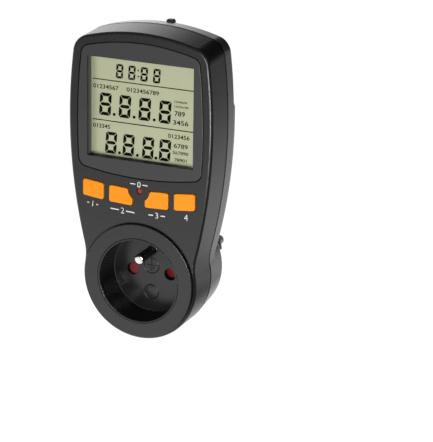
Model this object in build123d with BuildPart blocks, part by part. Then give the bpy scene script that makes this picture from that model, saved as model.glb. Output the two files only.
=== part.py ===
"""Plug-in energy meter with a pinned socket outlet, a segment display and four keys.

Millimetres. The origin is where the plug's axis meets the wall. +X points right and +Z up, seen from the
front. The front faces -Y and the plug leaves the back along +Y. Sketches lie on Plane.XZ offset by a height,
so every height below is a distance in front of the wall, and what is behind the wall has a negative height.
"""
import os
from math import cos, hypot, radians, sin, sqrt

from build123d import *

os.makedirs("parts", exist_ok=True)

# Heights in front of the wall
collar_front = 37.0
face_setback = 1.4
display_depth = 4.0
outlet_depth = 15.0
parting_height = 18.0
upper_back = 9.0
lower_back = 6.8
face_height = collar_front - face_setback
display_height = face_height - display_depth
outlet_floor = collar_front - outlet_depth

# Outline of the upper body, seen from the front
half_width = 35.6
side_radius = 247.0
side_centre = 74.0
body_top = 116.8
top_radius = 97.0
corner_radius = 8.7
face_drop = 0.9
front_draft = 0.25
rear_draft = 0.9
lower_draft = 1.4
face_fillet = 1.3
wall = 2.0

# Outlet and the pins that fit it
recess_radius = 19.3
cup_wall = 1.0
cup_gap = 0.15
cup_flange = 2.5
cup_flange_thickness = 1.6
cup_floor = 2.0
contact_pitch = 19.0
pin_radius = 2.4
pin_root_radius = pin_radius + 0.2
earth_offset = 10.0
cup_radius = recess_radius + cup_wall
cup_flange_radius = cup_radius + cup_flange
contact_x = contact_pitch / 2
contact_places = [(contact_x, 0), (-contact_x, 0)]
contact_hole_radius = pin_radius + 0.6
earth_pin_tip = collar_front - 1.0
floor_back = outlet_floor - cup_floor

# Collar and round base
collar_width = 6.8
collar_radius = cup_radius + collar_width
base_radius = collar_radius - 0.8
skirt_radius = collar_radius + 1.3
waist_radius = 22.0
collar_plate = 3.0
collar_groove = 0.6
collar_edge = 0.4
groove_depth = 0.8
base_fillet = 1.6
step_level = 79.0
step_run = 3.0

# Seam between the two shells
seam_reveal = 0.6
lip_height = 1.4
lip_thickness = 0.8
lip_clearance = 0.1

# Display
face_side = 4.15
bezel_side = 5.15
bezel_half_width = half_width - face_side
bezel_side_radius = 280.0
bezel_side_centre = 72.0
bezel_top = body_top - 5.2
bezel_top_radius = 101.0
bezel_bottom = 48.2
bezel_bottom_radius = 150.0
bezel_corner = 4.5
bezel_gap = 0.22
bezel_flange = 1.0
flange_thickness = 1.2
view_half_width = bezel_half_width - bezel_side
view_bottom = bezel_bottom + 8.1
view_top = bezel_top - 8.7
window_margin = 2.0
window_thickness = 0.8
glass_thickness = 2.8
glass_standoff = 2.2
frame_wall = 1.2
frame_gap = 0.2

# Keys
key_proud = 1.0
key_travel = 0.8
key_gap = 0.3
key_row_top = 43.4
key_row_bottom = 35.6
key_row_radius = 206.0
outer_key_width = 10.4
key_space = 2.8
outer_key_far = half_width - 7.6
outer_key = (outer_key_far - outer_key_width, outer_key_far)
inner_key = (3.1, outer_key[0] - key_space)
key_corner = 1.1
key_edge = 0.35
hollow_width = 2.5
hollow_depth = 4.5
key_flange = 0.8
key_flange_thickness = 1.2
key_stem_radius = 1.6
reset_level = 42.5
reset_radius = 1.05
reset_hole_radius = reset_radius + key_gap
reset_recess = 0.5
switch_size = 6.0
switch_height = 3.5
switch_level = (key_row_top + key_row_bottom) / 2 + 0.7
plunger_radius = 1.75
plunger_height = 1.6
plunger_inset = 1.2
plunger_clearance = 0.06

# Control board
board_thickness = 1.6
control_board_front = display_height - window_thickness - glass_thickness - glass_standoff
board_half_width = bezel_half_width - 2.05
board_top_half = board_half_width - 8.9
board_top = bezel_top - bezel_top_radius + sqrt(bezel_top_radius ** 2 - board_top_half ** 2) + 0.8
board_bottom = key_row_bottom - 4.1

# Shutter
shutter_gap = 0.25
shutter_thickness = 2.6
shutter_pad_radius = contact_hole_radius + 0.3
shutter_hub_radius = 3.9
shutter_post_radius = 1.9
shutter_clearance = 0.05
shutter_arm_width = 4.4
ramp_angle = 16.0
spring_wire = 0.25
spring_radius = 2.9
spring_turns = 2
spring_leg = 3.0
peg_radius = 0.45
peg_length = 0.8
shutter_top = floor_back - shutter_gap
shutter_back = shutter_top - shutter_thickness

# Contacts behind the outlet
carrier_thickness = 2.0
carrier_boss = 1.5
carrier_height = shutter_back - 1.95
skirt_bottom = carrier_height - carrier_thickness - 0.2
tube_bore = pin_radius - 0.05
tube_radius = tube_bore + 0.75
tube_top = carrier_height - 1.2
tube_bottom = 3.2
tag_thickness = 1.0
tag_reach = contact_x + 6.1

# Plug
insert_radius = recess_radius - 0.05
insert_length = 16.0
insert_end_wall = 5.0
insert_seat = 5.0
insert_flange_radius = insert_radius + 3.55
insert_flange_thickness = 2.0
insert_gap = 0.15
clip_width = 8.0
clip_thickness = 0.6
clip_line = insert_radius - 1.45
insert_cavity_radius = clip_line - clip_thickness - 0.6
plug_pin_length = 19.0
pin_tip_round = 1.6
stud_radius = 1.5
earth_flange_radius = 3.3
sleeve_bore = pin_radius + 0.1
sleeve_radius = sleeve_bore + 0.6

# Power board
power_board_front = lower_back + 6.0
power_board_half_width = half_width - 9.6
power_board_bottom = collar_radius + 4.9
power_board_top = power_board_bottom + 44.0

# Screws
screw_radius = 1.4
pilot_clearance = 0.05
screw_hole_radius = screw_radius + 0.2
head_radius = 2.6
head_height = 1.8
head_recess_radius = head_radius + 0.2
case_screw_length = 11.5
board_screw_radius = 0.9
board_head_radius = 1.8
small_head_height = 1.2
screw_inset = 6.2

# Battery compartment at the top of the back
cell_radius = 5.8
cell_length = 5.4
cell_count = 2
cell_gap = 0.04
cell_cap = 0.9
bay_centre = 2.2
cover_gap = 0.25
cover_thickness = 1.5
cover_half_width = cell_length * cell_count / 2 + 2.4
cover_top = body_top - 3.8
cover_bottom = cover_top - 2 * cell_radius - 4.7
tab_half_width = 2.0
tab_top = body_top + 0.1
tab_proud = 2.0
cell_rest = cover_bottom + 2.3
bay_top = cell_rest + 2 * cell_radius + 0.3
bay_depth = cover_thickness + 2 * cell_radius + 0.7
bay_wall = 1.2
bay_floor = 0.9

lead_radius = 0.9
lead_bend = 1.9


def front_plane(height):
    """Plane parallel to the wall at a height in front of it, x right and y up."""
    return Plane.XZ.offset(height)


def arc_cross(x1, z1, r1, x2, z2, r2):
    """Upper right point where two circles cross."""
    dx = x2 - x1
    dz = z2 - z1
    gap = hypot(dx, dz)
    along = (r1 * r1 - r2 * r2 + gap * gap) / (2 * gap)
    across = sqrt(r1 * r1 - along * along)
    base = (x1 + along * dx / gap, z1 + along * dz / gap)
    one = (base[0] + across * dz / gap, base[1] - across * dx / gap)
    two = (base[0] - across * dz / gap, base[1] + across * dx / gap)
    return max(one, two)


def side_x(z, inset, width=half_width, radius=side_radius, centre=side_centre):
    """Half width of a barrel-sided outline at a level."""
    return width - radius + sqrt((radius - inset) ** 2 - (z - centre) ** 2)


def body_outline(height, inset, drop=0.0):
    """Outline of the upper body at a height, inset from its widest size. Its top can be lowered by a drop."""
    side_x0 = half_width - side_radius
    top_z0 = body_top - drop - top_radius
    corner = arc_cross(side_x0, side_centre, side_radius - inset, 0, top_z0, top_radius - inset)
    low = (side_x(0, inset), 0)
    middle = (half_width - inset, side_centre)
    with BuildSketch(front_plane(height)) as outline:
        with BuildLine():
            ThreePointArc(low, middle, corner)
            ThreePointArc(corner, (0, body_top - drop - inset), (-corner[0], corner[1]))
            ThreePointArc((-corner[0], corner[1]), (-middle[0], middle[1]), (-low[0], low[1]))
            Line((-low[0], low[1]), low)
        make_face()
        fillet(outline.vertices().sort_by(Axis.Y)[-2:], corner_radius - inset)
    return outline.sketch


def case_outline(height, inset, round_inset=0.0, drop=0.0):
    """Outline of the whole case at a height: the upper body and the round part below it, which meet in a
    hollow curve at the waist."""
    with BuildSketch(front_plane(height)) as outline:
        add(body_outline(height, inset, drop))
        add(disc(height, skirt_radius - inset - round_inset))
        fillet([v for v in outline.vertices() if v.Y < side_centre / 2], waist_radius + inset)
    return outline.sketch


def bezel_outline(height, inset):
    """Outline of the display bezel at a height, inset from the opening in the front."""
    side_x0 = bezel_half_width - bezel_side_radius
    top = arc_cross(side_x0, bezel_side_centre, bezel_side_radius - inset,
                    0, bezel_top - bezel_top_radius, bezel_top_radius - inset)
    low = arc_cross(side_x0, -bezel_side_centre, bezel_side_radius - inset,
                    0, -bezel_bottom - bezel_bottom_radius, bezel_bottom_radius - inset)
    low = (low[0], -low[1])
    middle = (bezel_half_width - inset, bezel_side_centre)
    with BuildSketch(front_plane(height)) as outline:
        with BuildLine():
            ThreePointArc(low, middle, top)
            ThreePointArc(top, (0, bezel_top - inset), (-top[0], top[1]))
            ThreePointArc((-top[0], top[1]), (-middle[0], middle[1]), (-low[0], low[1]))
            ThreePointArc((-low[0], low[1]), (0, bezel_bottom + inset), low)
        make_face()
        fillet(outline.vertices(), bezel_corner - inset)
    return outline.sketch


def disc(height, radius, *places):
    """Round sketch at a height, at one or more places."""
    with BuildSketch(front_plane(height)) as round_sketch:
        with Locations(*(places or [(0, 0)])):
            Circle(radius)
    return round_sketch.sketch


def panel(height, left, right, bottom, top):
    """Rectangular sketch at a height, given by its sides."""
    with BuildSketch(front_plane(height)) as rectangle:
        with Locations(((left + right) / 2, (bottom + top) / 2)):
            Rectangle(right - left, top - bottom)
    return rectangle.sketch


def window_panel(height, margin):
    """The display's viewing area at a height, grown by a margin."""
    return panel(height, -view_half_width - margin, view_half_width + margin,
                 view_bottom - margin, view_top + margin)


def polar(radius, angle):
    return (radius * cos(radians(angle)), radius * sin(radians(angle)))


def save(piece, name):
    piece.label = name
    export_step(piece, f"parts/{name}.step")


# Places shared by several pieces
upper_screws = [(side * (side_x(level, 0) - screw_inset), level)
                for level in (body_top - 18.8, collar_radius + 0.9) for side in (1, -1)]
base_screw_circle = collar_radius - 4.1
base_boss_radius = 2.4
base_screws = [polar(base_screw_circle, angle) for angle in (225, 315)]
board_screws_top = [(14.0, bezel_top - 3.2), (-14.0, bezel_top - 3.2)]
board_screws_low = [(20.0, bezel_bottom + 2.7), (-20.0, bezel_bottom + 2.7)]
power_screws = [(side * (power_board_half_width - 3.5), level)
                for level in (power_board_bottom + 4.5, power_board_top - 3.5) for side in (1, -1)]
carrier_screws_at = [polar(recess_radius - 3.9, angle) for angle in (130, 290)]
insert_screws_at = [polar(insert_radius + 1.95, angle) for angle in (45, 135)]
outer_key_centre = (outer_key[0] + outer_key[1]) / 2
inner_key_centre = inner_key[1] - 5.4
switch_places = {"set": -outer_key_centre, "energy": -inner_key_centre, "cost": inner_key_centre,
                 "up": outer_key_centre}

# Key outlines, seen from the front. The row bends like a smile about the middle of the face.


def row_z(level, x):
    """Level of a key edge at x, on the curve of the key row."""
    return level + x * x / (2 * key_row_radius)


def key_outline(height, name, growth):
    """Outline of one key at a height, grown on all sides."""
    side = -1 if name in ("set", "energy") else 1
    near, far = outer_key if name in ("set", "up") else inner_key
    corners = [(side * far, row_z(key_row_bottom, far)), (side * far, row_z(key_row_top, far))]
    near_low = (side * near, row_z(key_row_bottom, near))
    near_high = (side * near, row_z(key_row_top, near))
    # The inner keys are hollowed beside the reset button
    shoulder = (side * (near + hollow_width), row_z(key_row_top, near + hollow_width))
    waist = (side * near, key_row_top - hollow_depth)
    hollow = (side * (near + 0.7 * hollow_width), key_row_top - 0.53 * hollow_depth)
    with BuildSketch(front_plane(height)) as outline:
        with BuildLine():
            if name in ("energy", "cost"):
                Polyline(near_low, corners[0], corners[1], shoulder)
                ThreePointArc(shoulder, hollow, waist)
                Line(waist, near_low)
            else:
                Polyline(near_low, corners[0], corners[1], near_high, near_low)
        make_face()
        if name in ("energy", "cost"):
            fillet([v for v in outline.vertices() if hypot(v.X - waist[0], v.Y - waist[1]) > 0.1],
                   key_corner)
        else:
            fillet(outline.vertices(), key_corner)
        if growth:
            offset(amount=growth)
    return outline.sketch


# Front shell: the face, the side walls in front of the seam and the collar round the outlet

with BuildPart() as collar:
    extrude(disc(face_height - groove_depth - 1, collar_radius),
            amount=collar_front - face_height + groove_depth + 1)
    fillet(collar.faces().sort_by(Axis.Y)[0].edges(), collar_edge)

with BuildPart() as front_shell:
    loft([case_outline(face_height, 0, drop=face_drop), case_outline(parting_height, front_draft)],
         ruled=True)
    fillet(front_shell.faces().sort_by(Axis.Y)[0].edges(), face_fillet)
    extrude(disc(face_height - groove_depth, collar_radius + collar_groove), amount=groove_depth + 1,
            mode=Mode.SUBTRACT)
    add(collar.part)
    # Hollow of the upper body and of the collar
    loft([body_outline(face_height - wall, wall, face_drop),
          body_outline(parting_height, front_draft + wall)], ruled=True, mode=Mode.SUBTRACT)
    extrude(disc(parting_height, collar_radius - wall), amount=collar_front - collar_plate - parting_height,
            mode=Mode.SUBTRACT)
    # Rebate that takes the rear shell's lip
    extrude(body_outline(parting_height, front_draft + wall - lip_thickness - lip_clearance),
            amount=lip_height + lip_clearance, mode=Mode.SUBTRACT)
    extrude(disc(parting_height, collar_radius - wall + lip_thickness + lip_clearance),
            amount=lip_height + lip_clearance, mode=Mode.SUBTRACT)
    # Mouth for the outlet cup
    extrude(disc(face_height - wall - 1, cup_radius + cup_gap), amount=wall + face_setback + 2,
            mode=Mode.SUBTRACT)
    # Openings for the display bezel, the keys and the reset button
    extrude(bezel_outline(face_height - wall - 1, 0), amount=wall + 2, mode=Mode.SUBTRACT)
    for key_name in switch_places:
        extrude(key_outline(face_height - wall - 1, key_name, key_gap), amount=wall + 2, mode=Mode.SUBTRACT)
    extrude(disc(face_height - wall - 1, reset_hole_radius, (0, reset_level)), amount=wall + 2,
            mode=Mode.SUBTRACT)
    # Bosses for the case screws, webbed to the side walls
    boss_radius = 2.5
    boss_length = 5.5
    for x, z in upper_screws:
        side = 1 if x > 0 else -1
        reach = side * (side_x(z, front_draft / 2) - wall / 2)
        with BuildSketch(front_plane(parting_height + lip_height + 0.4)):
            with Locations((x, z)):
                Circle(boss_radius)
            with Locations(((x + reach) / 2, z)):
                Rectangle(abs(reach - x), boss_radius * 1.6)
        extrude(amount=boss_length - lip_height)
        extrude(disc(parting_height, boss_radius, (x, z)), amount=boss_length)
    for x, z in base_screws:
        boss_start = parting_height + lip_height + 0.4
        extrude(disc(boss_start, base_boss_radius, (x, z)),
                amount=collar_front - collar_plate - 2.0 - boss_start)
    for x, z in upper_screws + base_screws:
        extrude(disc(parting_height - 1, screw_radius + pilot_clearance, (x, z)), amount=boss_length + 0.7,
                mode=Mode.SUBTRACT)
save(front_shell.part, "front_shell")

# Rear shell: the back, the round base that meets the wall, screw tubes, ribs and the battery bay

rear_top = parting_height - seam_reveal
tube_wall = 0.7
head_seat = 2.4
base_seat = upper_back + head_seat
skirt_ribs = (0, 180, 270)
rib_width = 2.0
bay_left = bay_centre - cover_half_width
bay_right = bay_centre + cover_half_width
bay_low = cover_bottom - 2.0
bay_sides = (bay_left + 0.2, bay_right - 0.2)


def below_step(drop):
    """Side view of everything above the step in the back, moved down by a drop."""
    level = step_level - drop
    with BuildSketch(Plane.YZ.offset(-half_width - 5)) as side_view:
        with BuildLine():
            Polyline((-upper_back - 9, level + step_run), (-upper_back - drop, level + step_run),
                     (-lower_back - drop, level), (9, level), (9, body_top + 5),
                     (-upper_back - 9, body_top + 5), close=True)
        make_face()
    return side_view.sketch


with BuildPart() as lower_block:
    loft([body_outline(upper_back + 1.6, rear_draft + 0.2), body_outline(lower_back, lower_draft)],
         ruled=True)
    extrude(below_step(0), amount=2 * half_width + 10, mode=Mode.SUBTRACT)
    fillet(lower_block.faces().filter_by(Axis.Y).sort_by(Axis.Y)[-1].edges(), 0.8)

with BuildPart() as lower_hollow:
    extrude(body_outline(upper_back + wall + 0.5, lower_draft + wall), amount=lower_back - upper_back - 0.5)
    extrude(below_step(wall), amount=2 * half_width + 10, mode=Mode.SUBTRACT)

with BuildPart() as round_base:
    loft([disc(rear_top, skirt_radius - front_draft - 0.08), disc(0, base_radius)], ruled=True)
    fillet(round_base.faces().sort_by(Axis.Y)[-1].edges(), base_fillet)

# Tubes for the two screws in the round base, trimmed to its outside
with BuildPart() as base_tubes:
    extrude(disc(base_fillet + 0.1, head_recess_radius + tube_wall, *base_screws),
            amount=base_seat + 1 - base_fillet)
    add(round_base.part, mode=Mode.INTERSECT)

with BuildPart() as rear_shell:
    loft([case_outline(rear_top, front_draft + 0.08, 0.2), case_outline(upper_back, rear_draft, 0.7)],
         ruled=True)
    fillet(rear_shell.faces().sort_by(Axis.Y)[-1].edges(), 1.0)
    add(lower_block.part)
    add(round_base.part)
    # Hollow
    loft([body_outline(rear_top, front_draft + wall), body_outline(upper_back + wall, rear_draft + wall)],
         ruled=True, mode=Mode.SUBTRACT)
    add(lower_hollow.part, mode=Mode.SUBTRACT)
    loft([disc(rear_top, collar_radius - wall), disc(wall, base_radius - wall)], ruled=True,
         mode=Mode.SUBTRACT)
    # Lip that enters the front shell's rebate
    lip_rise = lip_height + seam_reveal - lip_clearance
    extrude(body_outline(rear_top, front_draft + wall - lip_thickness), amount=lip_rise)
    extrude(disc(rear_top, collar_radius - wall + lip_thickness), amount=lip_rise)
    extrude(body_outline(rear_top, front_draft + wall), amount=lip_rise + 1, mode=Mode.SUBTRACT)
    extrude(disc(rear_top, collar_radius - wall), amount=lip_rise + 1, mode=Mode.SUBTRACT)
    # Seat for the plug insert's flange, and ribs that carry the outlet cup's skirt
    extrude(disc(wall - 0.5, base_radius - wall), amount=insert_seat - wall + 0.5)
    for angle in skirt_ribs:
        with BuildSketch(front_plane(insert_seat - 0.5)):
            with PolarLocations((recess_radius + collar_radius - wall) / 2, 1, start_angle=angle):
                Rectangle(collar_radius - wall - recess_radius + 0.4, rib_width)
        extrude(amount=skirt_bottom - insert_seat + 0.5)
    extrude(disc(insert_seat, insert_flange_radius + 0.3), amount=insert_flange_thickness + 0.4,
            mode=Mode.SUBTRACT)
    extrude(disc(-1, insert_radius + insert_gap), amount=insert_seat + 2, mode=Mode.SUBTRACT)
    for x, z in insert_screws_at:
        extrude(disc(1.0, board_screw_radius + pilot_clearance, (x, z)), amount=insert_seat,
                mode=Mode.SUBTRACT)
    # Screw tubes
    for x, z in upper_screws:
        back = upper_back if z > step_level else lower_back
        extrude(disc(back + 0.5, head_recess_radius + tube_wall, (x, z)), amount=rear_top - back - 0.5)
        extrude(disc(back - 1, head_recess_radius, (x, z)), amount=1 + head_seat, mode=Mode.SUBTRACT)
        extrude(disc(back, screw_hole_radius, (x, z)), amount=parting_height, mode=Mode.SUBTRACT)
    add(base_tubes.part)
    for x, z in base_screws:
        extrude(disc(base_seat, base_boss_radius, (x, z)), amount=rear_top - base_seat)
        extrude(disc(-1, head_recess_radius, (x, z)), amount=1 + base_seat, mode=Mode.SUBTRACT)
        extrude(disc(0, screw_hole_radius, (x, z)), amount=parting_height + 1, mode=Mode.SUBTRACT)
    # Posts for the power board
    post_top = power_board_front - board_thickness
    post_radius = 2.4
    for x, z in power_screws:
        extrude(disc(lower_back + 0.5, post_radius, (x, z)), amount=post_top - lower_back - 0.5)
        extrude(disc(lower_back + 1.2, board_screw_radius + pilot_clearance, (x, z)), amount=post_top,
                mode=Mode.SUBTRACT)
    # Battery bay: walls, floor, a rib under the cells, and the opening that the cover closes
    extrude(panel(upper_back + 0.5, bay_left - bay_wall, bay_right + bay_wall,
                  bay_low - bay_wall, bay_top + bay_wall),
            amount=bay_depth + bay_floor - 0.5)
    extrude(panel(upper_back + wall, *bay_sides, bay_low, bay_top), amount=bay_depth - wall,
            mode=Mode.SUBTRACT)
    extrude(panel(upper_back - 1, bay_left - cover_gap, bay_right + cover_gap,
                  cover_bottom - cover_gap, cover_top + cover_gap),
            amount=1 + cover_thickness + 0.1, mode=Mode.SUBTRACT)
    extrude(panel(upper_back, *bay_sides, cover_bottom - cover_gap, bay_top), amount=wall + 1,
            mode=Mode.SUBTRACT)
    extrude(panel(upper_back + 3.5, bay_centre - 3.0, bay_centre + 3.0, cell_rest - 0.8, cell_rest),
            amount=bay_depth - 3.0)
save(rear_shell.part, "rear_shell")

# Display bezel with the well round the display, and posts for the control board

with BuildPart() as display_bezel:
    extrude(bezel_outline(face_height - wall, bezel_gap), amount=wall)
    fillet(display_bezel.faces().sort_by(Axis.Y)[0].edges(), 0.3)
    extrude(bezel_outline(face_height - wall, -bezel_flange), amount=-flange_thickness)
    extrude(window_panel(display_height, window_margin), amount=face_height - wall - display_height)
    for x, z in board_screws_top + board_screws_low:
        extrude(disc(control_board_front, 1.9, (x, z)), amount=face_height - wall - control_board_front)
    extrude(window_panel(display_height - 5, 0), amount=display_depth + 6, mode=Mode.SUBTRACT)
    for x, z in board_screws_top + board_screws_low:
        extrude(disc(control_board_front - 1, board_screw_radius + pilot_clearance, (x, z)), amount=6.5,
                mode=Mode.SUBTRACT)
save(display_bezel.part, "display_bezel")

with BuildPart() as display_window:
    extrude(window_panel(display_height - window_thickness, window_margin), amount=window_thickness)
save(display_window.part, "display_window")

glass_back = display_height - window_thickness - glass_thickness
glass_margin = window_margin - 0.3
with BuildPart() as lcd_glass:
    extrude(window_panel(glass_back, glass_margin), amount=glass_thickness)
save(lcd_glass.part, "lcd_glass")

strip_width = 2.4
strip_half = view_half_width - 1.0
with BuildPart() as lcd_frame:
    frame_top = face_height - wall - flange_thickness - 0.1
    extrude(window_panel(control_board_front, window_margin + frame_gap + frame_wall),
            amount=frame_top - control_board_front)
    extrude(window_panel(control_board_front - 1, window_margin + frame_gap), amount=frame_top,
            mode=Mode.SUBTRACT)
    # Side ledges that the glass rests on
    for side in (-1, 1):
        inner = side * (view_half_width - 0.5)
        outer = side * (view_half_width + window_margin + frame_gap + 0.2)
        extrude(panel(control_board_front, *sorted((inner, outer)), view_bottom + 4, view_top - 4),
                amount=glass_back - control_board_front)
save(lcd_frame.part, "lcd_frame")

with BuildPart() as contact_strips:
    for low in (view_bottom - glass_margin + 0.1, view_top + glass_margin - 0.1 - strip_width):
        extrude(panel(control_board_front, -strip_half, strip_half, low, low + strip_width),
                amount=glass_back - control_board_front)
save(contact_strips.part, "contact_strips")

# Control board

control_board_back = control_board_front - board_thickness
header_clear = power_board_top + 2.0
with BuildPart() as control_board:
    with BuildSketch(front_plane(control_board_back)):
        with BuildLine():
            half = [(board_half_width - 3.1, board_bottom), (board_half_width, key_row_top + 2.6),
                    (board_half_width, board_top - 5.8), (board_top_half, board_top)]
            Polyline(*half, *[(-x, z) for x, z in reversed(half)], close=True)
        make_face()
    extrude(amount=board_thickness)
    for x, z in board_screws_top + board_screws_low:
        extrude(disc(control_board_back - 1, board_screw_radius + 0.2, (x, z)), amount=board_thickness + 2,
                mode=Mode.SUBTRACT)
save(control_board.part, "control_board")

with BuildPart() as display_controller:
    extrude(panel(control_board_back, -5, 5, header_clear, header_clear + 10), amount=-1.4)
save(display_controller.part, "display_controller")

with BuildPart() as crystal:
    with BuildSketch(Plane.XY.offset(header_clear - 6.0)):
        with Locations((12.0, -control_board_back + 1.5)):
            Circle(1.5)
    extrude(amount=8.0)
save(crystal.part, "crystal")

# Screws that hold the control board, heads on its back
with BuildPart() as control_board_screws:
    for x, z in board_screws_top + board_screws_low:
        extrude(disc(control_board_back, board_head_radius, (x, z)), amount=-small_head_height)
        extrude(disc(control_board_back, board_screw_radius, (x, z)), amount=6.5)
save(control_board_screws.part, "control_board_screws")

# Keys, their switches and plungers

switch_top = control_board_front + switch_height
plunger_top = switch_top + plunger_height
flange_top = face_height - wall - 0.1
flange_back = flange_top - key_flange_thickness
key_places = {name: (x, switch_level) for name, x in switch_places.items()}
key_places["reset"] = (0.0, reset_level)

with BuildPart() as key_switches:
    for x, z in key_places.values():
        half = switch_size / 2
        extrude(panel(control_board_front, x - half, x + half, z - half, z + half), amount=switch_height)
        bore_end = switch_top - plunger_inset - key_travel - 0.4
        extrude(disc(bore_end, plunger_radius + plunger_clearance, (x, z)),
                amount=3, mode=Mode.SUBTRACT)
save(key_switches.part, "key_switches")

for key_name, (x, z) in key_places.items():
    with BuildPart() as plunger:
        root = disc(switch_top - plunger_inset, plunger_radius, (x, z))
        extrude(root, amount=plunger_height + plunger_inset)
    save(plunger.part, f"{key_name}_plunger")

for key_name in switch_places:
    place = key_places[key_name]
    with BuildPart() as key:
        extrude(key_outline(flange_back, key_name, 0), amount=face_height + key_proud - flange_back)
        fillet(key.faces().sort_by(Axis.Y)[0].edges(), key_edge)
        extrude(key_outline(flange_back, key_name, key_gap + key_flange), amount=key_flange_thickness)
        extrude(disc(plunger_top, key_stem_radius, place), amount=flange_back - plunger_top)
    save(key.part, f"key_{key_name}")

with BuildPart() as reset_button:
    extrude(disc(plunger_top, reset_radius, (0, reset_level)),
            amount=face_height - reset_recess - plunger_top)
    extrude(disc(flange_back, reset_hole_radius + 0.5, (0, reset_level)), amount=key_flange_thickness)
save(reset_button.part, "reset_button")

# Outlet cup: rim, recess, floor with two holes, and the skirt that houses the shutter

cup_boss_radius = 2.4
with BuildPart() as outlet_cup:
    extrude(disc(skirt_bottom, cup_radius), amount=collar_front - skirt_bottom)
    fillet(outlet_cup.faces().sort_by(Axis.Y)[0].edges(), 0.25)
    extrude(disc(collar_front - collar_plate - cup_flange_thickness, cup_flange_radius),
            amount=cup_flange_thickness)
    extrude(disc(outlet_floor, recess_radius), amount=outlet_depth + 1, mode=Mode.SUBTRACT)
    fillet(outlet_cup.edges().filter_by(GeomType.CIRCLE).filter_by(
        lambda e: abs(e.radius - recess_radius) < 0.01).sort_by(Axis.Y)[0], 0.4)
    extrude(disc(skirt_bottom - 1, recess_radius), amount=outlet_floor - cup_floor - skirt_bottom + 1,
            mode=Mode.SUBTRACT)
    # Post for the shutter's hub and bosses for the carrier's screws
    extrude(disc(carrier_height, shutter_post_radius), amount=floor_back - carrier_height)
    for x, z in carrier_screws_at:
        extrude(disc(carrier_height, cup_boss_radius, (x, z)), amount=floor_back - carrier_height)
        extrude(disc(carrier_height - 1, board_screw_radius + pilot_clearance, (x, z)), amount=4.5,
                mode=Mode.SUBTRACT)
    extrude(disc(floor_back - 1, contact_hole_radius, *contact_places), amount=cup_floor + 2,
            mode=Mode.SUBTRACT)
    extrude(disc(floor_back - 1, pin_root_radius + 0.03, (0, earth_offset)), amount=cup_floor + 2,
            mode=Mode.SUBTRACT)
    # Notches in the flange where the case screws' bosses pass
    for x, z in base_screws:
        extrude(disc(collar_front - collar_plate - cup_flange_thickness - 1, base_boss_radius + 0.4, (x, z)),
                amount=cup_flange_thickness + 1, mode=Mode.SUBTRACT)
save(outlet_cup.part, "outlet_cup")

# Shutter: a rotor whose two pads close the contact holes until both pins push them aside

peg_x = 2.4
peg_z = spring_radius + spring_wire + peg_radius + 0.02
with BuildPart() as shutter:
    with BuildSketch(front_plane(shutter_back)):
        Circle(shutter_hub_radius)
        Rectangle(2 * contact_x, shutter_arm_width)
        with Locations(*contact_places):
            Circle(shutter_pad_radius)
        with Locations((-peg_x, peg_z)):
            Circle(2 * peg_radius)
    extrude(amount=shutter_thickness)
    # Each pad slopes down the way it turns
    for side in (1, -1):
        slope = Plane(origin=(side * contact_x, -shutter_top, side * shutter_pad_radius), x_dir=(1, 0, 0),
                      z_dir=(0, -cos(radians(ramp_angle)), -side * sin(radians(ramp_angle))))
        with BuildSketch(slope):
            Rectangle(2 * shutter_pad_radius + 1, 5 * shutter_pad_radius)
        extrude(amount=4, mode=Mode.SUBTRACT)
    extrude(disc(shutter_back - 1, shutter_post_radius + shutter_clearance), amount=shutter_thickness + 2,
            mode=Mode.SUBTRACT)
    # Peg that pushes the spring's front leg
    extrude(disc(shutter_back, peg_radius, (-peg_x, peg_z)), amount=-peg_length)
save(shutter.part, "shutter")

# Torsion spring behind the hub, one leg against the shutter's peg and one against the carrier's
spring_base = shutter_back - spring_wire - 0.15
spring_pitch = 2.2 * spring_wire
with BuildPart() as shutter_spring:
    with BuildLine() as coil:
        Helix(spring_pitch, spring_pitch * spring_turns, spring_radius,
              center=(0, -spring_base, 0), direction=(0, 1, 0))
    with BuildSketch(Plane(origin=coil.line @ 0, z_dir=coil.line % 0)):
        Circle(spring_wire)
    sweep(is_frenet=True)
    for end, way in ((0, -1), (1, 1)):
        with BuildSketch(Plane(origin=coil.line @ end, z_dir=(coil.line % end) * way)) as leg_section:
            Circle(spring_wire)
        extrude(leg_section.sketch, amount=spring_leg)
save(shutter_spring.part, "shutter_spring")

# Carrier plate that closes the shutter's space and holds the contact tubes

carrier_back = carrier_height - carrier_thickness
with BuildPart() as contact_carrier:
    extrude(disc(carrier_back, recess_radius - 0.2), amount=carrier_thickness)
    extrude(disc(carrier_back - carrier_boss, tube_radius + 1.2, *contact_places), amount=carrier_boss)
    extrude(disc(0, tube_radius + 0.1, *contact_places), amount=tube_top + 0.1, mode=Mode.SUBTRACT)
    extrude(disc(0, contact_hole_radius - 0.1, *contact_places), amount=carrier_height + 1,
            mode=Mode.SUBTRACT)
    extrude(disc(0, stud_radius + 0.7, (0, earth_offset)), amount=carrier_height + 1, mode=Mode.SUBTRACT)
    for x, z in carrier_screws_at:
        extrude(disc(0, board_screw_radius + 0.2, (x, z)), amount=carrier_height + 1, mode=Mode.SUBTRACT)
    extrude(disc(carrier_height, peg_radius, (peg_x, peg_z)), amount=peg_length)
save(contact_carrier.part, "contact_carrier")

with BuildPart() as carrier_screws:
    for x, z in carrier_screws_at:
        extrude(disc(carrier_back - small_head_height, board_head_radius, (x, z)), amount=small_head_height)
        extrude(disc(carrier_back, board_screw_radius, (x, z)), amount=5.0)
save(carrier_screws.part, "carrier_screws")

# Socket contacts: slotted tubes with a solder tag

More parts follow.
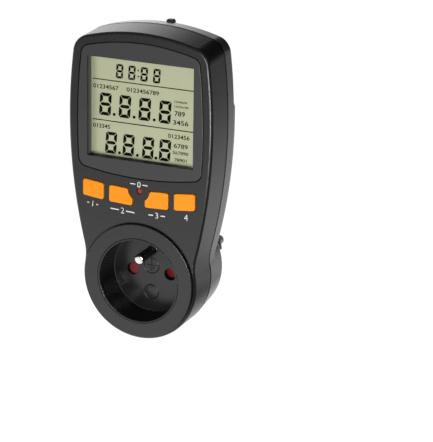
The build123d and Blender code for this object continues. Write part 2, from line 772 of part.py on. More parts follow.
for contact_name, side in (("live_contact", 1), ("neutral_contact", -1)):
    x0 = side * contact_x
    with BuildPart() as contact:
        extrude(disc(tube_bottom, tube_radius, (x0, 0)), amount=tube_top - tube_bottom)
        extrude(disc(tube_bottom, tube_bore, (x0, 0)), amount=tube_top, mode=Mode.SUBTRACT)
        extrude(panel(tube_bottom + 3, x0 - 0.5, x0 + 0.5, -tube_radius - 1, tube_radius + 1),
                amount=tube_top, mode=Mode.SUBTRACT)
        extrude(disc(tube_bottom - tag_thickness, tube_radius, (x0, 0)), amount=tag_thickness)
        ends = sorted((x0, side * tag_reach))
        extrude(panel(tube_bottom - tag_thickness, ends[0], ends[1], -1.8, 1.8), amount=tag_thickness)
        if side < 0:
            extrude(disc(0, stud_radius + 0.03, (x0, 0)), amount=tube_bottom + 0.5, mode=Mode.SUBTRACT)
    save(contact.part, contact_name)

# Earth: the pin in the outlet, a strap with the plug's two side clips, and the sleeve for the wall's pin

strap_top = insert_seat + insert_flange_thickness + 0.3 + clip_thickness
strap_bottom = strap_top - clip_thickness
end_wall_top = -insert_length + insert_end_wall
clip_end = -insert_length + 2.0
bulge_start = 2.0
bulge_end = 13.0
bulge = 1.1
with BuildPart() as earth_pin:
    extrude(disc(outlet_floor, pin_radius, (0, earth_offset)), amount=earth_pin_tip - outlet_floor)
    fillet(earth_pin.faces().sort_by(Axis.Y)[0].edges(), pin_tip_round)
    extrude(disc(floor_back, pin_root_radius, (0, earth_offset)), amount=cup_floor)
    extrude(disc(floor_back - 1.2, earth_flange_radius, (0, earth_offset)), amount=1.2)
    extrude(disc(strap_top, stud_radius, (0, earth_offset)), amount=floor_back - 1.2 - strap_top)
save(earth_pin.part, "earth_pin")

with BuildPart() as earth_strap:
    extrude(panel(strap_bottom, -clip_width / 2, clip_width / 2, -clip_line, clip_line),
            amount=clip_thickness)
    for side in (-1, 1):
        inner, outer = sorted((side * (clip_line - clip_thickness), side * clip_line))
        extrude(panel(clip_end, -clip_width / 2, clip_width / 2, inner, outer), amount=strap_top - clip_end)
        # Each clip bulges out so that it presses on the wall outlet's contact
        with BuildSketch(Plane.YZ.offset(-clip_width / 2)):
            with BuildLine():
                foot = side * (clip_line - 0.1)
                ThreePointArc((bulge_start, foot),
                              ((bulge_start + bulge_end) / 2, side * (clip_line + bulge)),
                              (bulge_end, foot))
                Line((bulge_end, foot), (bulge_start, foot))
            make_face()
        extrude(amount=clip_width)
save(earth_strap.part, "earth_strap")

with BuildPart() as earth_sleeve:
    sleeve_end = end_wall_top - 1.4
    extrude(disc(sleeve_end, sleeve_radius, (0, earth_offset)), amount=strap_bottom - sleeve_end)
    extrude(disc(sleeve_end, sleeve_bore, (0, earth_offset)), amount=strap_bottom - sleeve_end - 1.0,
            mode=Mode.SUBTRACT)
save(earth_sleeve.part, "earth_sleeve")

# Plug insert: the round body that enters the wall outlet

groove_width = 5.0
groove_floor = insert_radius - 2.0
pin_boss = 1.5
pin_flange_radius = 3.2
live_stud_top = -8.4
insert_top = insert_seat + insert_flange_thickness
with BuildPart() as plug_insert:
    extrude(disc(insert_seat, insert_radius), amount=-insert_length - insert_seat)
    fillet(plug_insert.faces().sort_by(Axis.Y)[-1].edges(), 1.0)
    extrude(disc(insert_seat, insert_flange_radius), amount=insert_flange_thickness)
    extrude(disc(end_wall_top, insert_cavity_radius), amount=insert_top - end_wall_top, mode=Mode.SUBTRACT)
    # Bosses round the pins
    extrude(disc(end_wall_top, 4.0, *contact_places), amount=pin_boss)
    # Guide grooves at the sides, flats and slots for the earth clips
    for side in (-1, 1):
        inner, outer = sorted((side * groove_floor, side * (insert_radius + 1)))
        extrude(panel(-insert_length - 1, inner, outer, -groove_width / 2, groove_width / 2),
                amount=insert_length + 1 - 0.4, mode=Mode.SUBTRACT)
        low, high = sorted((side * (clip_line - clip_thickness - 0.1), side * (insert_radius + 0.5)))
        extrude(panel(-insert_length - 1, -clip_width / 2 - 0.4, clip_width / 2 + 0.4, low, high),
                amount=insert_top + insert_length + 2, mode=Mode.SUBTRACT)
    # Pin seats, and the mouth for the wall's earth pin
    extrude(disc(-insert_length - 1, pin_root_radius + 0.02, *contact_places), amount=insert_end_wall + 3,
            mode=Mode.SUBTRACT)
    extrude(disc(end_wall_top - 1.5, sleeve_radius + 0.05, (0, earth_offset)), amount=3, mode=Mode.SUBTRACT)
    extrude(disc(-insert_length - 1, sleeve_bore + 0.3, (0, earth_offset)), amount=insert_end_wall + 3,
            mode=Mode.SUBTRACT)
    # Notches for the base screws' tubes, and holes for its own screws
    for x, z in base_screws:
        extrude(disc(insert_seat - 1, head_recess_radius + tube_wall + 0.3, (x, z)),
                amount=insert_flange_thickness + 1.5, mode=Mode.SUBTRACT)
    for x, z in insert_screws_at:
        extrude(disc(insert_seat, board_screw_radius + 0.2, (x, z)), amount=insert_flange_thickness + 1,
                mode=Mode.SUBTRACT)
save(plug_insert.part, "plug_insert")

with BuildPart() as insert_screws:
    for x, z in insert_screws_at:
        extrude(disc(insert_top, board_head_radius * 0.85, (x, z)), amount=small_head_height)
        extrude(disc(insert_top - 5.6, board_screw_radius, (x, z)), amount=5.6)
save(insert_screws.part, "insert_screws")

for pin_name, side in (("live_pin", 1), ("neutral_pin", -1)):
    place = (side * contact_x, 0)
    pin_seat = end_wall_top + pin_boss
    stud_top = live_stud_top if side > 0 else tube_bottom
    with BuildPart() as plug_pin:
        extrude(disc(-insert_length, pin_radius, place), amount=-plug_pin_length)
        fillet(plug_pin.faces().sort_by(Axis.Y)[-1].edges(), pin_tip_round)
        extrude(disc(pin_seat, pin_root_radius, place), amount=-insert_length - pin_seat)
        extrude(disc(pin_seat, pin_flange_radius, place), amount=0.6)
        extrude(disc(pin_seat, stud_radius, place), amount=stud_top - pin_seat)
    save(plug_pin.part, pin_name)

# Insulated leads: from the live plug pin to the power board, and from the board to both socket contacts


def lead(name, points):
    """Round lead along points of (x, height, level), with every corner rounded."""
    path_points = [(x, -height, z) for x, height, z in points]
    with BuildPart() as wire:
        with BuildLine() as route:
            FilletPolyline(*path_points, radius=lead_bend)
        with BuildSketch(Plane(origin=route.line @ 0, z_dir=route.line % 0)):
            Circle(lead_radius)
        sweep()
    save(wire.part, name)


lead_height = 10.6
board_edge = power_board_bottom - 3.0
landing = power_board_bottom + 3.0
lead_crest = 17.0
first_bend = live_stud_top + 3.0
rise_level = 8.4
lead("live_in_lead",
     [(contact_x, live_stud_top, 0), (contact_x, first_bend, 0), (contact_x, first_bend, rise_level),
                      (contact_x, lead_height, rise_level), (contact_x, lead_height, board_edge),
                      (contact_x, lead_crest, board_edge), (contact_x, lead_crest, landing),
                      (contact_x, power_board_front, landing)])
for lead_name, side in (("live_out_lead", 1), ("neutral_lead", -1)):
    lead_x = side * (tag_reach - 1.2)
    lead(lead_name, [(lead_x, tube_bottom, 0), (lead_x, lead_height, 0), (lead_x, lead_height, board_edge),
                     (lead_x, lead_crest, board_edge), (lead_x, lead_crest, landing),
                     (lead_x, power_board_front, landing)])

# Power board and what stands on it

with BuildPart() as power_board:
    extrude(panel(power_board_front - board_thickness, -power_board_half_width, power_board_half_width,
                  power_board_bottom, power_board_top), amount=board_thickness)
    for x, z in power_screws:
        extrude(disc(0, board_screw_radius + 0.2, (x, z)), amount=power_board_front + 1, mode=Mode.SUBTRACT)
save(power_board.part, "power_board")

with BuildPart() as power_board_screws:
    for x, z in power_screws:
        extrude(disc(power_board_front, board_head_radius, (x, z)), amount=small_head_height)
        extrude(disc(power_board_front - 4.5, board_screw_radius, (x, z)), amount=4.5)
save(power_board_screws.part, "power_board_screws")

capacitor_box = (-18.0, 0.0, power_board_bottom + 28.0, power_board_bottom + 36.5)
capacitor_height = 9.0
with BuildPart() as dropper_capacitor:
    extrude(panel(power_board_front, *capacitor_box), amount=capacitor_height)
    fillet(dropper_capacitor.edges().filter_by(Axis.Y), 0.8)
save(dropper_capacitor.part, "dropper_capacitor")

varistor_radius = 4.5
varistor_thickness = 3.6
varistor_left = 6.0
varistor_level = power_board_bottom + 32.0
varistor_lead = 0.4
with BuildPart() as varistor:
    with BuildSketch(Plane.YZ.offset(varistor_left)):
        with Locations((-power_board_front - varistor_radius - 0.1, varistor_level)):
            Circle(varistor_radius)
    extrude(amount=varistor_thickness)
    fillet(varistor.edges(), 0.8)
    for level in (varistor_level - 2, varistor_level + 2):
        lead_place = (varistor_left + varistor_thickness / 2, level)
        extrude(disc(power_board_front, varistor_lead, lead_place), amount=varistor_radius - 1)
save(varistor.part, "varistor")

with BuildPart() as filter_capacitor:
    extrude(disc(power_board_front, 4.0, (17.0, power_board_bottom + 30.0)), amount=capacitor_height)
    fillet(filter_capacitor.faces().sort_by(Axis.Y)[0].edges(), 0.5)
save(filter_capacitor.part, "filter_capacitor")

chip_half = 5.2
chip_lead_pitch = 1.27
chip_bottom = power_board_bottom + 15.0
chip_top = chip_bottom + 7.5
with BuildPart() as metering_chip:
    extrude(panel(power_board_front + 0.2, -chip_half, chip_half, chip_bottom, chip_top), amount=2.3)
    for index in range(5):
        level = chip_bottom + 1 + chip_lead_pitch * index
        extrude(panel(power_board_front, -chip_half - 1.4, chip_half + 1.4, level, level + 0.45), amount=0.6)
save(metering_chip.part, "metering_chip")

shunt_ends = (9.0, 21.2)
shunt_low = power_board_bottom + 8.5
shunt_width = 3.5
shunt_height = 4.0
with BuildPart() as shunt_resistor:
    for left in (shunt_ends[0], shunt_ends[1] - 1.2):
        extrude(panel(power_board_front, left, left + 1.2, shunt_low, shunt_low + shunt_width),
                amount=shunt_height)
    extrude(panel(power_board_front + shunt_height - 0.8, *shunt_ends, shunt_low, shunt_low + shunt_width),
            amount=0.8)
save(shunt_resistor.part, "shunt_resistor")

header_pitch = 2.54
header_pins = 8
header_pin = 0.32
header_level = power_board_top - 3.75
header_half = header_pitch * header_pins / 2
with BuildPart() as board_header:
    extrude(panel(power_board_front, -header_half, header_half, header_level - 1.25, header_level + 1.25),
            amount=2.5)
    for index in range(header_pins):
        pin_x = header_pitch * (index - (header_pins - 1) / 2)
        extrude(panel(power_board_front, pin_x - header_pin, pin_x + header_pin,
                      header_level - header_pin, header_level + header_pin),
                amount=control_board_back - power_board_front)
save(board_header.part, "board_header")

# Battery cover: swings out about its lower edge, with two tongues below and a thumb tab on top

hook_offset = 5.2
hook_half = 1.2
hook_gap = 0.25
with BuildPart() as battery_cover:
    extrude(panel(upper_back, bay_left, bay_right, cover_bottom, cover_top), amount=cover_thickness)
    fillet(battery_cover.edges().filter_by(Axis.Y), 0.8)
    tab_sides = (bay_centre - tab_half_width, bay_centre + tab_half_width)
    extrude(panel(upper_back - tab_proud, *tab_sides, cover_top - 4, tab_top), amount=tab_proud - 0.3)
    fillet(battery_cover.edges().filter_by(Axis.Y).filter_by_position(Axis.Z, tab_top - 0.1, tab_top + 0.1),
           1.2)
    extrude(panel(upper_back - 0.4, *tab_sides, cover_top - 4, cover_top - 0.2), amount=0.6)
    for offset_x in (-hook_offset, hook_offset):
        left = bay_centre + offset_x - hook_half
        right = bay_centre + offset_x + hook_half
        hook_height = upper_back + wall + hook_gap
        extrude(panel(upper_back + cover_thickness, left, right, cover_bottom + 0.2, cover_bottom + 1.4),
                amount=wall - cover_thickness + hook_gap + 1.0)
        extrude(panel(hook_height, left, right, cover_bottom - 1.4, cover_bottom + 1.4), amount=1.0)
save(battery_cover.part, "battery_cover")

cell_height = upper_back + cover_thickness + 0.4 + cell_radius
cell_level = cell_rest + cell_radius
stack = cell_count * cell_length
with BuildPart() as button_cells:
    for index in range(cell_count):
        left = bay_centre - stack / 2 + index * cell_length
        with BuildSketch(Plane.YZ.offset(left)):
            with Locations((-cell_height, cell_level)):
                Circle(cell_radius)
        extrude(amount=cell_length - cell_cap)
        with BuildSketch(Plane.YZ.offset(left + cell_length - cell_cap)):
            with Locations((-cell_height, cell_level)):
                Circle(cell_radius - 1.6)
        extrude(amount=cell_cap - cell_gap)
save(button_cells.part, "button_cells")

contact_sheet = 0.4
for contact_name, side in (("battery_plate", 1), ("battery_spring", -1)):
    face_x = bay_centre + side * stack / 2
    sheet = sorted((face_x, face_x + side * contact_sheet))
    back_x = bay_centre + side * (cover_half_width - 0.2)
    with BuildPart() as battery_contact:
        with BuildSketch(Plane.YZ.offset(sheet[0])):
            with Locations((-cell_height, cell_level)):
                Rectangle(6.0, 7.0)
        extrude(amount=contact_sheet)
        arm = sorted((face_x, back_x))
        with BuildSketch(Plane.YZ.offset(arm[0])):
            with Locations((-cell_height - 3.0 + contact_sheet / 2, cell_level)):
                Rectangle(contact_sheet, 3.0)
        extrude(amount=arm[1] - arm[0])
    save(battery_contact.part, contact_name)

# Case screws, driven from the back into the front shell

with BuildPart() as case_screws:
    for x, z in upper_screws + base_screws:
        if (x, z) in base_screws:
            seat = base_seat
        elif z > step_level:
            seat = upper_back + head_seat
        else:
            seat = lower_back + head_seat
        extrude(disc(seat - head_height, head_radius, (x, z)), amount=head_height)
        extrude(disc(seat, screw_radius, (x, z)), amount=case_screw_length)
save(case_screws.part, "case_screws")
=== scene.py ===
import math

import bpy
from mathutils import Matrix, Vector


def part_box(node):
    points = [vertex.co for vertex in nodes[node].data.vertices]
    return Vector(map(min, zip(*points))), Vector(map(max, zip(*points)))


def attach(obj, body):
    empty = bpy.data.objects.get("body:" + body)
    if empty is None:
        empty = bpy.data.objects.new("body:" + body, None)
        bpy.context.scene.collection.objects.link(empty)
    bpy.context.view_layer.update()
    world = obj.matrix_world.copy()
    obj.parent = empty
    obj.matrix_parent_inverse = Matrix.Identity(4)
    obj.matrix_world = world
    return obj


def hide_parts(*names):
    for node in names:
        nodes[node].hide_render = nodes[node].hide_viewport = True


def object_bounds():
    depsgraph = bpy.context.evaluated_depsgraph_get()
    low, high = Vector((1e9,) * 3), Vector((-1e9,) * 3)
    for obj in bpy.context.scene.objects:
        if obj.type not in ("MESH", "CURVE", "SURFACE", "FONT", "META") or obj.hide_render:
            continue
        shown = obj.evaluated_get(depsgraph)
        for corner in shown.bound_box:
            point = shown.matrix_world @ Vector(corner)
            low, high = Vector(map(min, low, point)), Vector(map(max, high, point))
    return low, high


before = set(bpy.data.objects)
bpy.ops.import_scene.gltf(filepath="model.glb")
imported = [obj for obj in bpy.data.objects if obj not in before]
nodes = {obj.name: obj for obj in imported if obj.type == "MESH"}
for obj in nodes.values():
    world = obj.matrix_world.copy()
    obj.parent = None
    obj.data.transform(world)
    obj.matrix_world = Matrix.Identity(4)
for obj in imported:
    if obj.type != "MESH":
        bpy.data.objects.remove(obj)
cad_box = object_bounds()
mm = 0.001
# Width of a figure with its space, over its height
figure_pitch = 0.8
# Corners of a CAD mesh that are closer than this, in millimetres, are one corner
merge_distance = 0.001
# Levels that differ by less than this, in millimetres, count as the same
same_level = 0.01


# Modelling helpers

def clear_selection():
    """Leaves edit mode and deselects every object."""
    if bpy.context.object is not None and bpy.context.object.mode != "OBJECT":
        bpy.ops.object.mode_set(mode="OBJECT")
    bpy.ops.object.select_all(action="DESELECT")


def select_only(piece):
    """Makes one piece the selected and active one."""
    clear_selection()
    piece.select_set(True)
    bpy.context.view_layer.objects.active = piece


def settle(piece, name):
    """Names a piece and puts its place, turn and scale into its mesh."""
    select_only(piece)
    bpy.ops.object.transform_apply(location=True, rotation=True, scale=True)
    piece.name = name
    piece.data.name = name
    return piece


def block(name, low, high):
    """A block between two corners given in millimetres."""
    clear_selection()
    middle = [(a + b) / 2 * mm for a, b in zip(low, high)]
    size = [(b - a) * mm for a, b in zip(low, high)]
    bpy.ops.mesh.primitive_cube_add(size=1, location=middle, scale=size)
    return settle(bpy.context.object, name)


def round_bar(name, x, z, front, back, radius, sides=48):
    """A round bar along the meter's depth, between two heights over the wall in millimetres."""
    clear_selection()
    bpy.ops.mesh.primitive_cylinder_add(vertices=sides, radius=radius * mm, depth=(front - back) * mm,
                                        location=(x * mm, -(front + back) / 2 * mm, z * mm),
                                        rotation=(math.pi / 2, 0, 0))
    return settle(bpy.context.object, name)


def pick(piece, part, test):
    """Opens the piece in edit mode with only those faces, edges or corners selected that pass the test."""
    select_only(piece)
    mesh = piece.data
    for group in (mesh.vertices, mesh.edges, mesh.polygons):
        for item in group:
            item.select = False
    if part == "faces":
        for face in mesh.polygons:
            face.select = test(face.center / mm, face.normal)
    elif part == "edges":
        for edge in mesh.edges:
            ends = [mesh.vertices[i].co / mm for i in edge.vertices]
            edge.select = test(ends[0], ends[1])
    else:
        for corner in mesh.vertices:
            corner.select = test(corner.co / mm)
    bpy.context.tool_settings.mesh_select_mode = (part == "corners", part == "edges", part == "faces")
    bpy.ops.object.mode_set(mode="EDIT")


def close(piece):
    """Ends edit mode."""
    select_only(piece)
    return piece


def every_face(centre, normal):
    """The test that all faces pass."""
    return True


def merge_corners(piece):
    """Joins up the loose triangles in a copy of a CAD mesh."""
    pick(piece, "faces", every_face)
    bpy.ops.mesh.remove_doubles(threshold=merge_distance * mm)
    return close(piece)


def smooth_within(piece, degrees):
    """Shades a piece smooth wherever its faces meet at less than this angle."""
    select_only(piece)
    bpy.ops.object.shade_smooth_by_angle(angle=math.radians(degrees))
    return piece


def bevel_edges(piece, width, steps, test):
    """Rounds the edges that pass the test."""
    pick(piece, "edges", test)
    bpy.ops.mesh.bevel(offset=width * mm, segments=steps, affect="EDGES")
    return close(piece)


def duplicate(piece, name, change):
    """A copy with its own mesh, moved or turned by a matrix."""
    copy = piece.copy()
    copy.data = piece.data.copy()
    copy.name = name
    copy.data.name = name
    bpy.context.scene.collection.objects.link(copy)
    copy.data.transform(change)
    if change.determinant() < 0:
        copy.data.flip_normals()
    return copy


def join(name, pieces):
    """One piece out of several."""
    clear_selection()
    for piece in pieces:
        piece.select_set(True)
    bpy.context.view_layer.objects.active = pieces[0]
    bpy.ops.object.join()
    return settle(bpy.context.object, name)


def drop(piece):
    """Takes a pattern piece out of the scene once its copies are made."""
    bpy.data.objects.remove(piece, do_unlink=True)


def shift(x, h, z):
    """A move in millimetres: right, out from the wall, up."""
    return Matrix.Translation((x * mm, -h * mm, z * mm))


def digits_between(name, first, left, right, low, high, h, thickness, weight=0.0):
    """A line of plain figures, as many as fit the given box, on a plane at height h, in millimetres. Weight
    makes their strokes bolder."""
    count = max(1, round((right - left) / (figure_pitch * (high - low))))
    digits = "".join(str((first + step) % 10) for step in range(count))
    clear_selection()
    bpy.ops.object.text_add(location=(0, 0, 0), rotation=(math.pi / 2, 0, 0))
    text = bpy.context.object
    text.data.body = digits
    text.data.size = 1.0
    text.data.offset = weight
    text.data.extrude = 0.5
    text.data.resolution_u = 4
    bpy.ops.object.convert(target="MESH")
    text = settle(bpy.context.object, name)
    low_x = min(v.co.x for v in text.data.vertices)
    high_x = max(v.co.x for v in text.data.vertices)
    low_z = min(v.co.z for v in text.data.vertices)
    high_z = max(v.co.z for v in text.data.vertices)
    tall = (high - low) * mm / (high_z - low_z)
    wide = (right - left) * mm / (high_x - low_x) if count > 1 else tall
    text.data.transform(Matrix.Translation((-(low_x + high_x) / 2, 0, -(low_z + high_z) / 2)))
    text.data.transform(Matrix.Diagonal((wide, thickness * mm, tall, 1)))
    text.data.transform(shift((left + right) / 2, h + thickness / 2, (low + high) / 2))
    return text


# Material helpers

# Most of a noise's values lie between these two
noise_low, noise_high = 0.3, 0.7
plastic_ior = 1.5
# How far the roughness strays from its middle over the grain of plastic, and down and up on metal
plastic_spread = 0.06
metal_sharper, metal_duller = 0.05, 0.08
# How deep light seeps into dyed plastic, and the width of stains on metal, in millimetres
glow_depth = 0.6
stain_width = 4.0


def linear(code):
    """The linear colour of an sRGB hex value."""
    parts = [int(code[i:i + 2], 16) / 255 for i in (1, 3, 5)]
    return [c / 12.92 if c <= 0.04045 else ((c + 0.055) / 1.055) ** 2.4 for c in parts] + [1.0]


def add_node(tree, kind, inputs=None, **settings):
    """A node with its settings, its inputs' values and the links into it."""
    node = tree.nodes.new(kind)
    for name, value in settings.items():
        setattr(node, name, value)
    for name, value in (inputs or {}).items():
        if isinstance(value, bpy.types.NodeSocket):
            tree.links.new(value, node.inputs[name])
        else:
            node.inputs[name].default_value = value
    return node


def new_finish(name):
    """An empty material's tree, with its output node."""
    material = bpy.data.materials.new(name)
    material.use_nodes = True
    material.node_tree.nodes.clear()
    return material, material.node_tree, add_node(material.node_tree, "ShaderNodeOutputMaterial")


def moulded(name, colour, second, roughness, grain, depth, patch=12.0, glow=0.0, gloss=0.5):
    """Injection-moulded plastic: pigment that varies over patches, and the mould's texture in the skin.
    Grain, its depth and the patches are in millimetres. Glow is the share of light that seeps in, and gloss
    the strength of the surface's own shine."""
    material, tree, output = new_finish(name)
    place = add_node(tree, "ShaderNodeTexCoord").outputs["Object"]
    flow = add_node(tree, "ShaderNodeTexNoise", {"Vector": place, "Scale": 1 / (patch * mm), "Detail": 4.0})
    pigment = add_node(tree, "ShaderNodeMix", {0: flow.outputs["Fac"], 6: linear(colour), 7: linear(second)},
                       data_type="RGBA")
    pits = add_node(tree, "ShaderNodeTexNoise", {"Vector": place, "Scale": 1 / (grain * mm), "Detail": 2.0,
                                                 "Roughness": 0.6})
    sheen = add_node(tree, "ShaderNodeMapRange", {"Value": pits.outputs["Fac"], "From Min": noise_low,
                                                  "From Max": noise_high,
                                                  "To Min": roughness - plastic_spread,
                                                  "To Max": roughness + plastic_spread})
    bump = add_node(tree, "ShaderNodeBump", {"Height": pits.outputs["Fac"], "Distance": depth * mm,
                                             "Strength": 1.0})
    shader = add_node(tree, "ShaderNodeBsdfPrincipled", {
        "Base Color": pigment.outputs[2], "Roughness": sheen.outputs["Result"],
        "Normal": bump.outputs["Normal"], "IOR": plastic_ior, "Specular IOR Level": gloss,
        "Subsurface Weight": glow, "Subsurface Scale": glow_depth * mm})
    tree.links.new(shader.outputs["BSDF"], output.inputs["Surface"])
    return material


def metal(name, colour, second, roughness, scratch, depth, along=(1.0, 1.0, 1.0), bare=1.0):
    """Plated or bare metal: slight tarnish, and rolling or drawing marks stretched along one way. Bare is the
    share of the surface that no film of oxide dulls."""
    material, tree, output = new_finish(name)
    place = add_node(tree, "ShaderNodeTexCoord").outputs["Object"]
    drawn = add_node(tree, "ShaderNodeMapping", {"Vector": place, "Scale": along})
    stain = add_node(tree, "ShaderNodeTexNoise", {"Vector": place, "Scale": 1 / (stain_width * mm),
                                                  "Detail": 3.0})
    tint = add_node(tree, "ShaderNodeMix", {0: stain.outputs["Fac"], 6: linear(colour), 7: linear(second)},
                    data_type="RGBA")
    marks = add_node(tree, "ShaderNodeTexNoise", {"Vector": drawn.outputs["Vector"],
                                                  "Scale": 1 / (scratch * mm), "Detail": 2.0})
    sheen = add_node(tree, "ShaderNodeMapRange", {"Value": marks.outputs["Fac"], "From Min": noise_low,
                                                  "From Max": noise_high,
                                                  "To Min": roughness - metal_sharper,
                                                  "To Max": roughness + metal_duller})
    bump = add_node(tree, "ShaderNodeBump", {"Height": marks.outputs["Fac"], "Distance": depth * mm,
                                             "Strength": 1.0})
    shader = add_node(tree, "ShaderNodeBsdfPrincipled", {
        "Base Color": tint.outputs[2], "Metallic": bare, "Roughness": sheen.outputs["Result"],
        "Normal": bump.outputs["Normal"]})
    tree.links.new(shader.outputs["BSDF"], output.inputs["Surface"])
    return material


def dress(finish, *names):
    """Gives a material to nodes of the frame."""
    for name in names:
        mesh = nodes[name].data
        mesh.materials.clear()
        mesh.materials.append(finish)


def wear(piece, finish, body, *stands_for):
    """Gives a new piece its material, the body that it rides on and the nodes it replaces."""
    piece.data.materials.clear()
    piece.data.materials.append(finish)
    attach(piece, body)
    if stands_for:
        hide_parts(*stands_for)
    return piece


# Finishes of the case, keys and outlet

# Spark-eroded mould: a dry, even satin black that goes grey where it is seen at a low angle. The real grain
# is about 0.15 mm; it is drawn three times as coarse, so that it shows
satin_abs = moulded("satin_black_abs", "#1f1f20", "#242425", 0.30, 0.45, 0.0025, 18.0)
# The outlet's mould is polished, so the same black shows deeper and carries soft reflections
polished_abs = moulded("polished_black_abs", "#161617", "#1a1a1b", 0.24, 0.25, 0.0006, 10.0)
# Dyed through, so the orange stays warm in the shadow at the foot of each key
orange_abs = moulded("orange_key_abs", "#f08d04", "#ed8903", 0.42, 0.5, 0.004, 6.0, glow=0.08)
# A pin-sized red button, duller than the keys because it is sunk
red_abs = moulded("red_button_abs", "#a8201c", "#981a18", 0.42, 0.4, 0.005, 2.0)
# The shutter's thermoplastic polyester is a brick red with a dull skin
shutter_pbt = moulded("brick_red_pbt", "#6e181a", "#601315", 0.45, 0.5, 0.008, 3.0)
# The carrier's glass-filled polyamide has a dry, slightly streaky grey-white skin
carrier_polyamide = moulded("glass_filled_polyamide", "#c9c5b8", "#b8b3a4", 0.55, 0.3, 0.02, 5.0)
# The display's frame is plain white polystyrene, so that it lifts the light behind the cell
frame_polystyrene = moulded("white_polystyrene", "#e4e4de", "#d9d9d2", 0.45, 0.6, 0.008, 6.0)
# Pale ink, pad-printed and a little uneven
printed_ink = moulded("pad_printed_ink", "#d2d2d0", "#c4c4c2", 0.55, 0.25, 0.01, 1.5)

# The rear half's skin is glossier, so that its sides mirror the pale table behind it; its black is also
# painted greyer than the front's, a painted sheen that stands in for more of that reflection
rear_abs_painted_sheen = moulded("black_abs_painted_sheen", "#474748", "#4c4c4d", 0.24, 0.45, 0.003, 18.0, gloss=1.0)
# Painted shade: the raised lines in the outlet's floor, and the bands at the seam between the shells, wear a
# darker, less shiny black than what lies round them, standing in for the shade along them
painted_shade_abs = moulded("painted_shade_black_abs", "#131314", "#18181a", 0.3, 0.3, 0.002, 6.0, gloss=0.25)

dress(satin_abs, "front_shell")
# The rear shell and battery cover wear the black with painted sheen
dress(rear_abs_painted_sheen, "rear_shell", "battery_cover")
dress(polished_abs, "outlet_cup", "plug_insert", "earth_sleeve")
dress(orange_abs, "key_set", "key_energy", "key_cost", "key_up")
dress(red_abs, "reset_button")
dress(shutter_pbt, "shutter")
dress(carrier_polyamide, "contact_carrier")
dress(frame_polystyrene, "lcd_frame")

# The bezel is the same black with a drier skin; the side walls of its well carry painted light: their colour
# is mixed towards pale grey, more so the deeper they lie, standing in for the light that the display scatters
# on them
well_half_width = 26.3
well_rim_h = 35.3
well_foot_h = 32.6
wall_tolerance = 0.1
bezel_abs = moulded("bezel_black_abs", "#313132", "#363637", 0.34, 0.45, 0.005, 18.0)
bezel_tree = bezel_abs.node_tree
bezel_place = add_node(bezel_tree, "ShaderNodeSeparateXYZ",
                       {0: add_node(bezel_tree, "ShaderNodeTexCoord").outputs["Object"]})
well_sides = [add_node(bezel_tree, "ShaderNodeMath", {0: bezel_place.outputs["X"],
                                                      1: side * well_half_width * mm,
                                                      2: wall_tolerance * mm}, operation="COMPARE")
              for side in (1, -1)]
well_walls = add_node(bezel_tree, "ShaderNodeMath", {0: well_sides[0].outputs[0],
                                                     1: well_sides[1].outputs[0]}, operation="MAXIMUM")
well_depth = add_node(bezel_tree, "ShaderNodeMapRange", {"Value": bezel_place.outputs["Y"],
                                                         "From Min": -well_rim_h * mm,
                                                         "From Max": -well_foot_h * mm})
well_painted_light = add_node(bezel_tree, "ShaderNodeMath", {0: well_walls.outputs[0],
                                                    1: well_depth.outputs["Result"]}, operation="MULTIPLY")
bezel_shader = [node for node in bezel_tree.nodes if node.type == "BSDF_PRINCIPLED"][0]
bezel_pigment = bezel_shader.inputs["Base Color"].links[0].from_socket
# Painted light: the well's side walls are mixed towards pale grey
bezel_with_painted_light = add_node(bezel_tree, "ShaderNodeMix", {0: well_painted_light.outputs[0], 6: bezel_pigment,
                                                      7: linear("#8a8a86")}, data_type="RGBA")
bezel_tree.links.new(bezel_with_painted_light.outputs[2], bezel_shader.inputs["Base Color"])

# The bezel's rim stands back from the opening in the front by a dark seam
seam_step = 0.22
rim_level = 34.0
opening_low, opening_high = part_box("display_window")
bezel_low, bezel_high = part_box("display_bezel")
bezel_middle = (bezel_low.z + bezel_high.z) / 2
bezel_half_wide = bezel_high.x / mm
bezel_half_tall = (bezel_high.z - bezel_low.z) / 2 / mm
seamed_bezel = duplicate(nodes["display_bezel"], "seamed_bezel", Matrix.Identity(4))
merge_corners(seamed_bezel)
pick(seamed_bezel, "corners", lambda corner: -corner.y > rim_level
     and not (opening_low.x < corner.x * mm < opening_high.x
              and opening_low.z < corner.z * mm < opening_high.z))
bpy.ops.transform.resize(value=(1 - seam_step / bezel_half_wide, 1, 1 - seam_step / bezel_half_tall),
                         center_override=(0, 0, bezel_middle))
close(seamed_bezel)
wear(seamed_bezel, bezel_abs, "case", "display_bezel")

# Metals

# Bright nickel over brass: nearly white, with a faint warm cast
nickel = metal("nickel_plated_brass", "#e8e6e0", "#dad6cd", 0.12, 0.25, 0.001, (6.0, 0.6, 6.0))
# Punched brass strip, slightly oxidised
brass = metal("rolled_brass", "#d9b665", "#c39a4a", 0.28, 0.2, 0.003, (0.5, 6.0, 6.0))
# Zinc-plated screws: a cool grey with a faint yellow tint
zinc_steel = metal("zinc_plated_steel", "#b9bcc0", "#a4a59f", 0.32, 0.2, 0.004)
# Cold-drawn spring wire
spring_wire = metal("drawn_spring_steel", "#9a9ca0", "#85878b", 0.26, 0.15, 0.003)
# Copper-manganese resistance strip
manganin = metal("manganin_strip", "#b5825e", "#9d6d4c", 0.35, 0.2, 0.003, (0.5, 6.0, 6.0))
# Pressed steel cell cans and crystal can
can_steel = metal("pressed_stainless_steel", "#c9cbcd", "#b7b9bb", 0.24, 0.3, 0.003)
# Tinned header pins
tin = metal("tinned_copper", "#cfcfca", "#bdbdb6", 0.30, 0.2, 0.003)

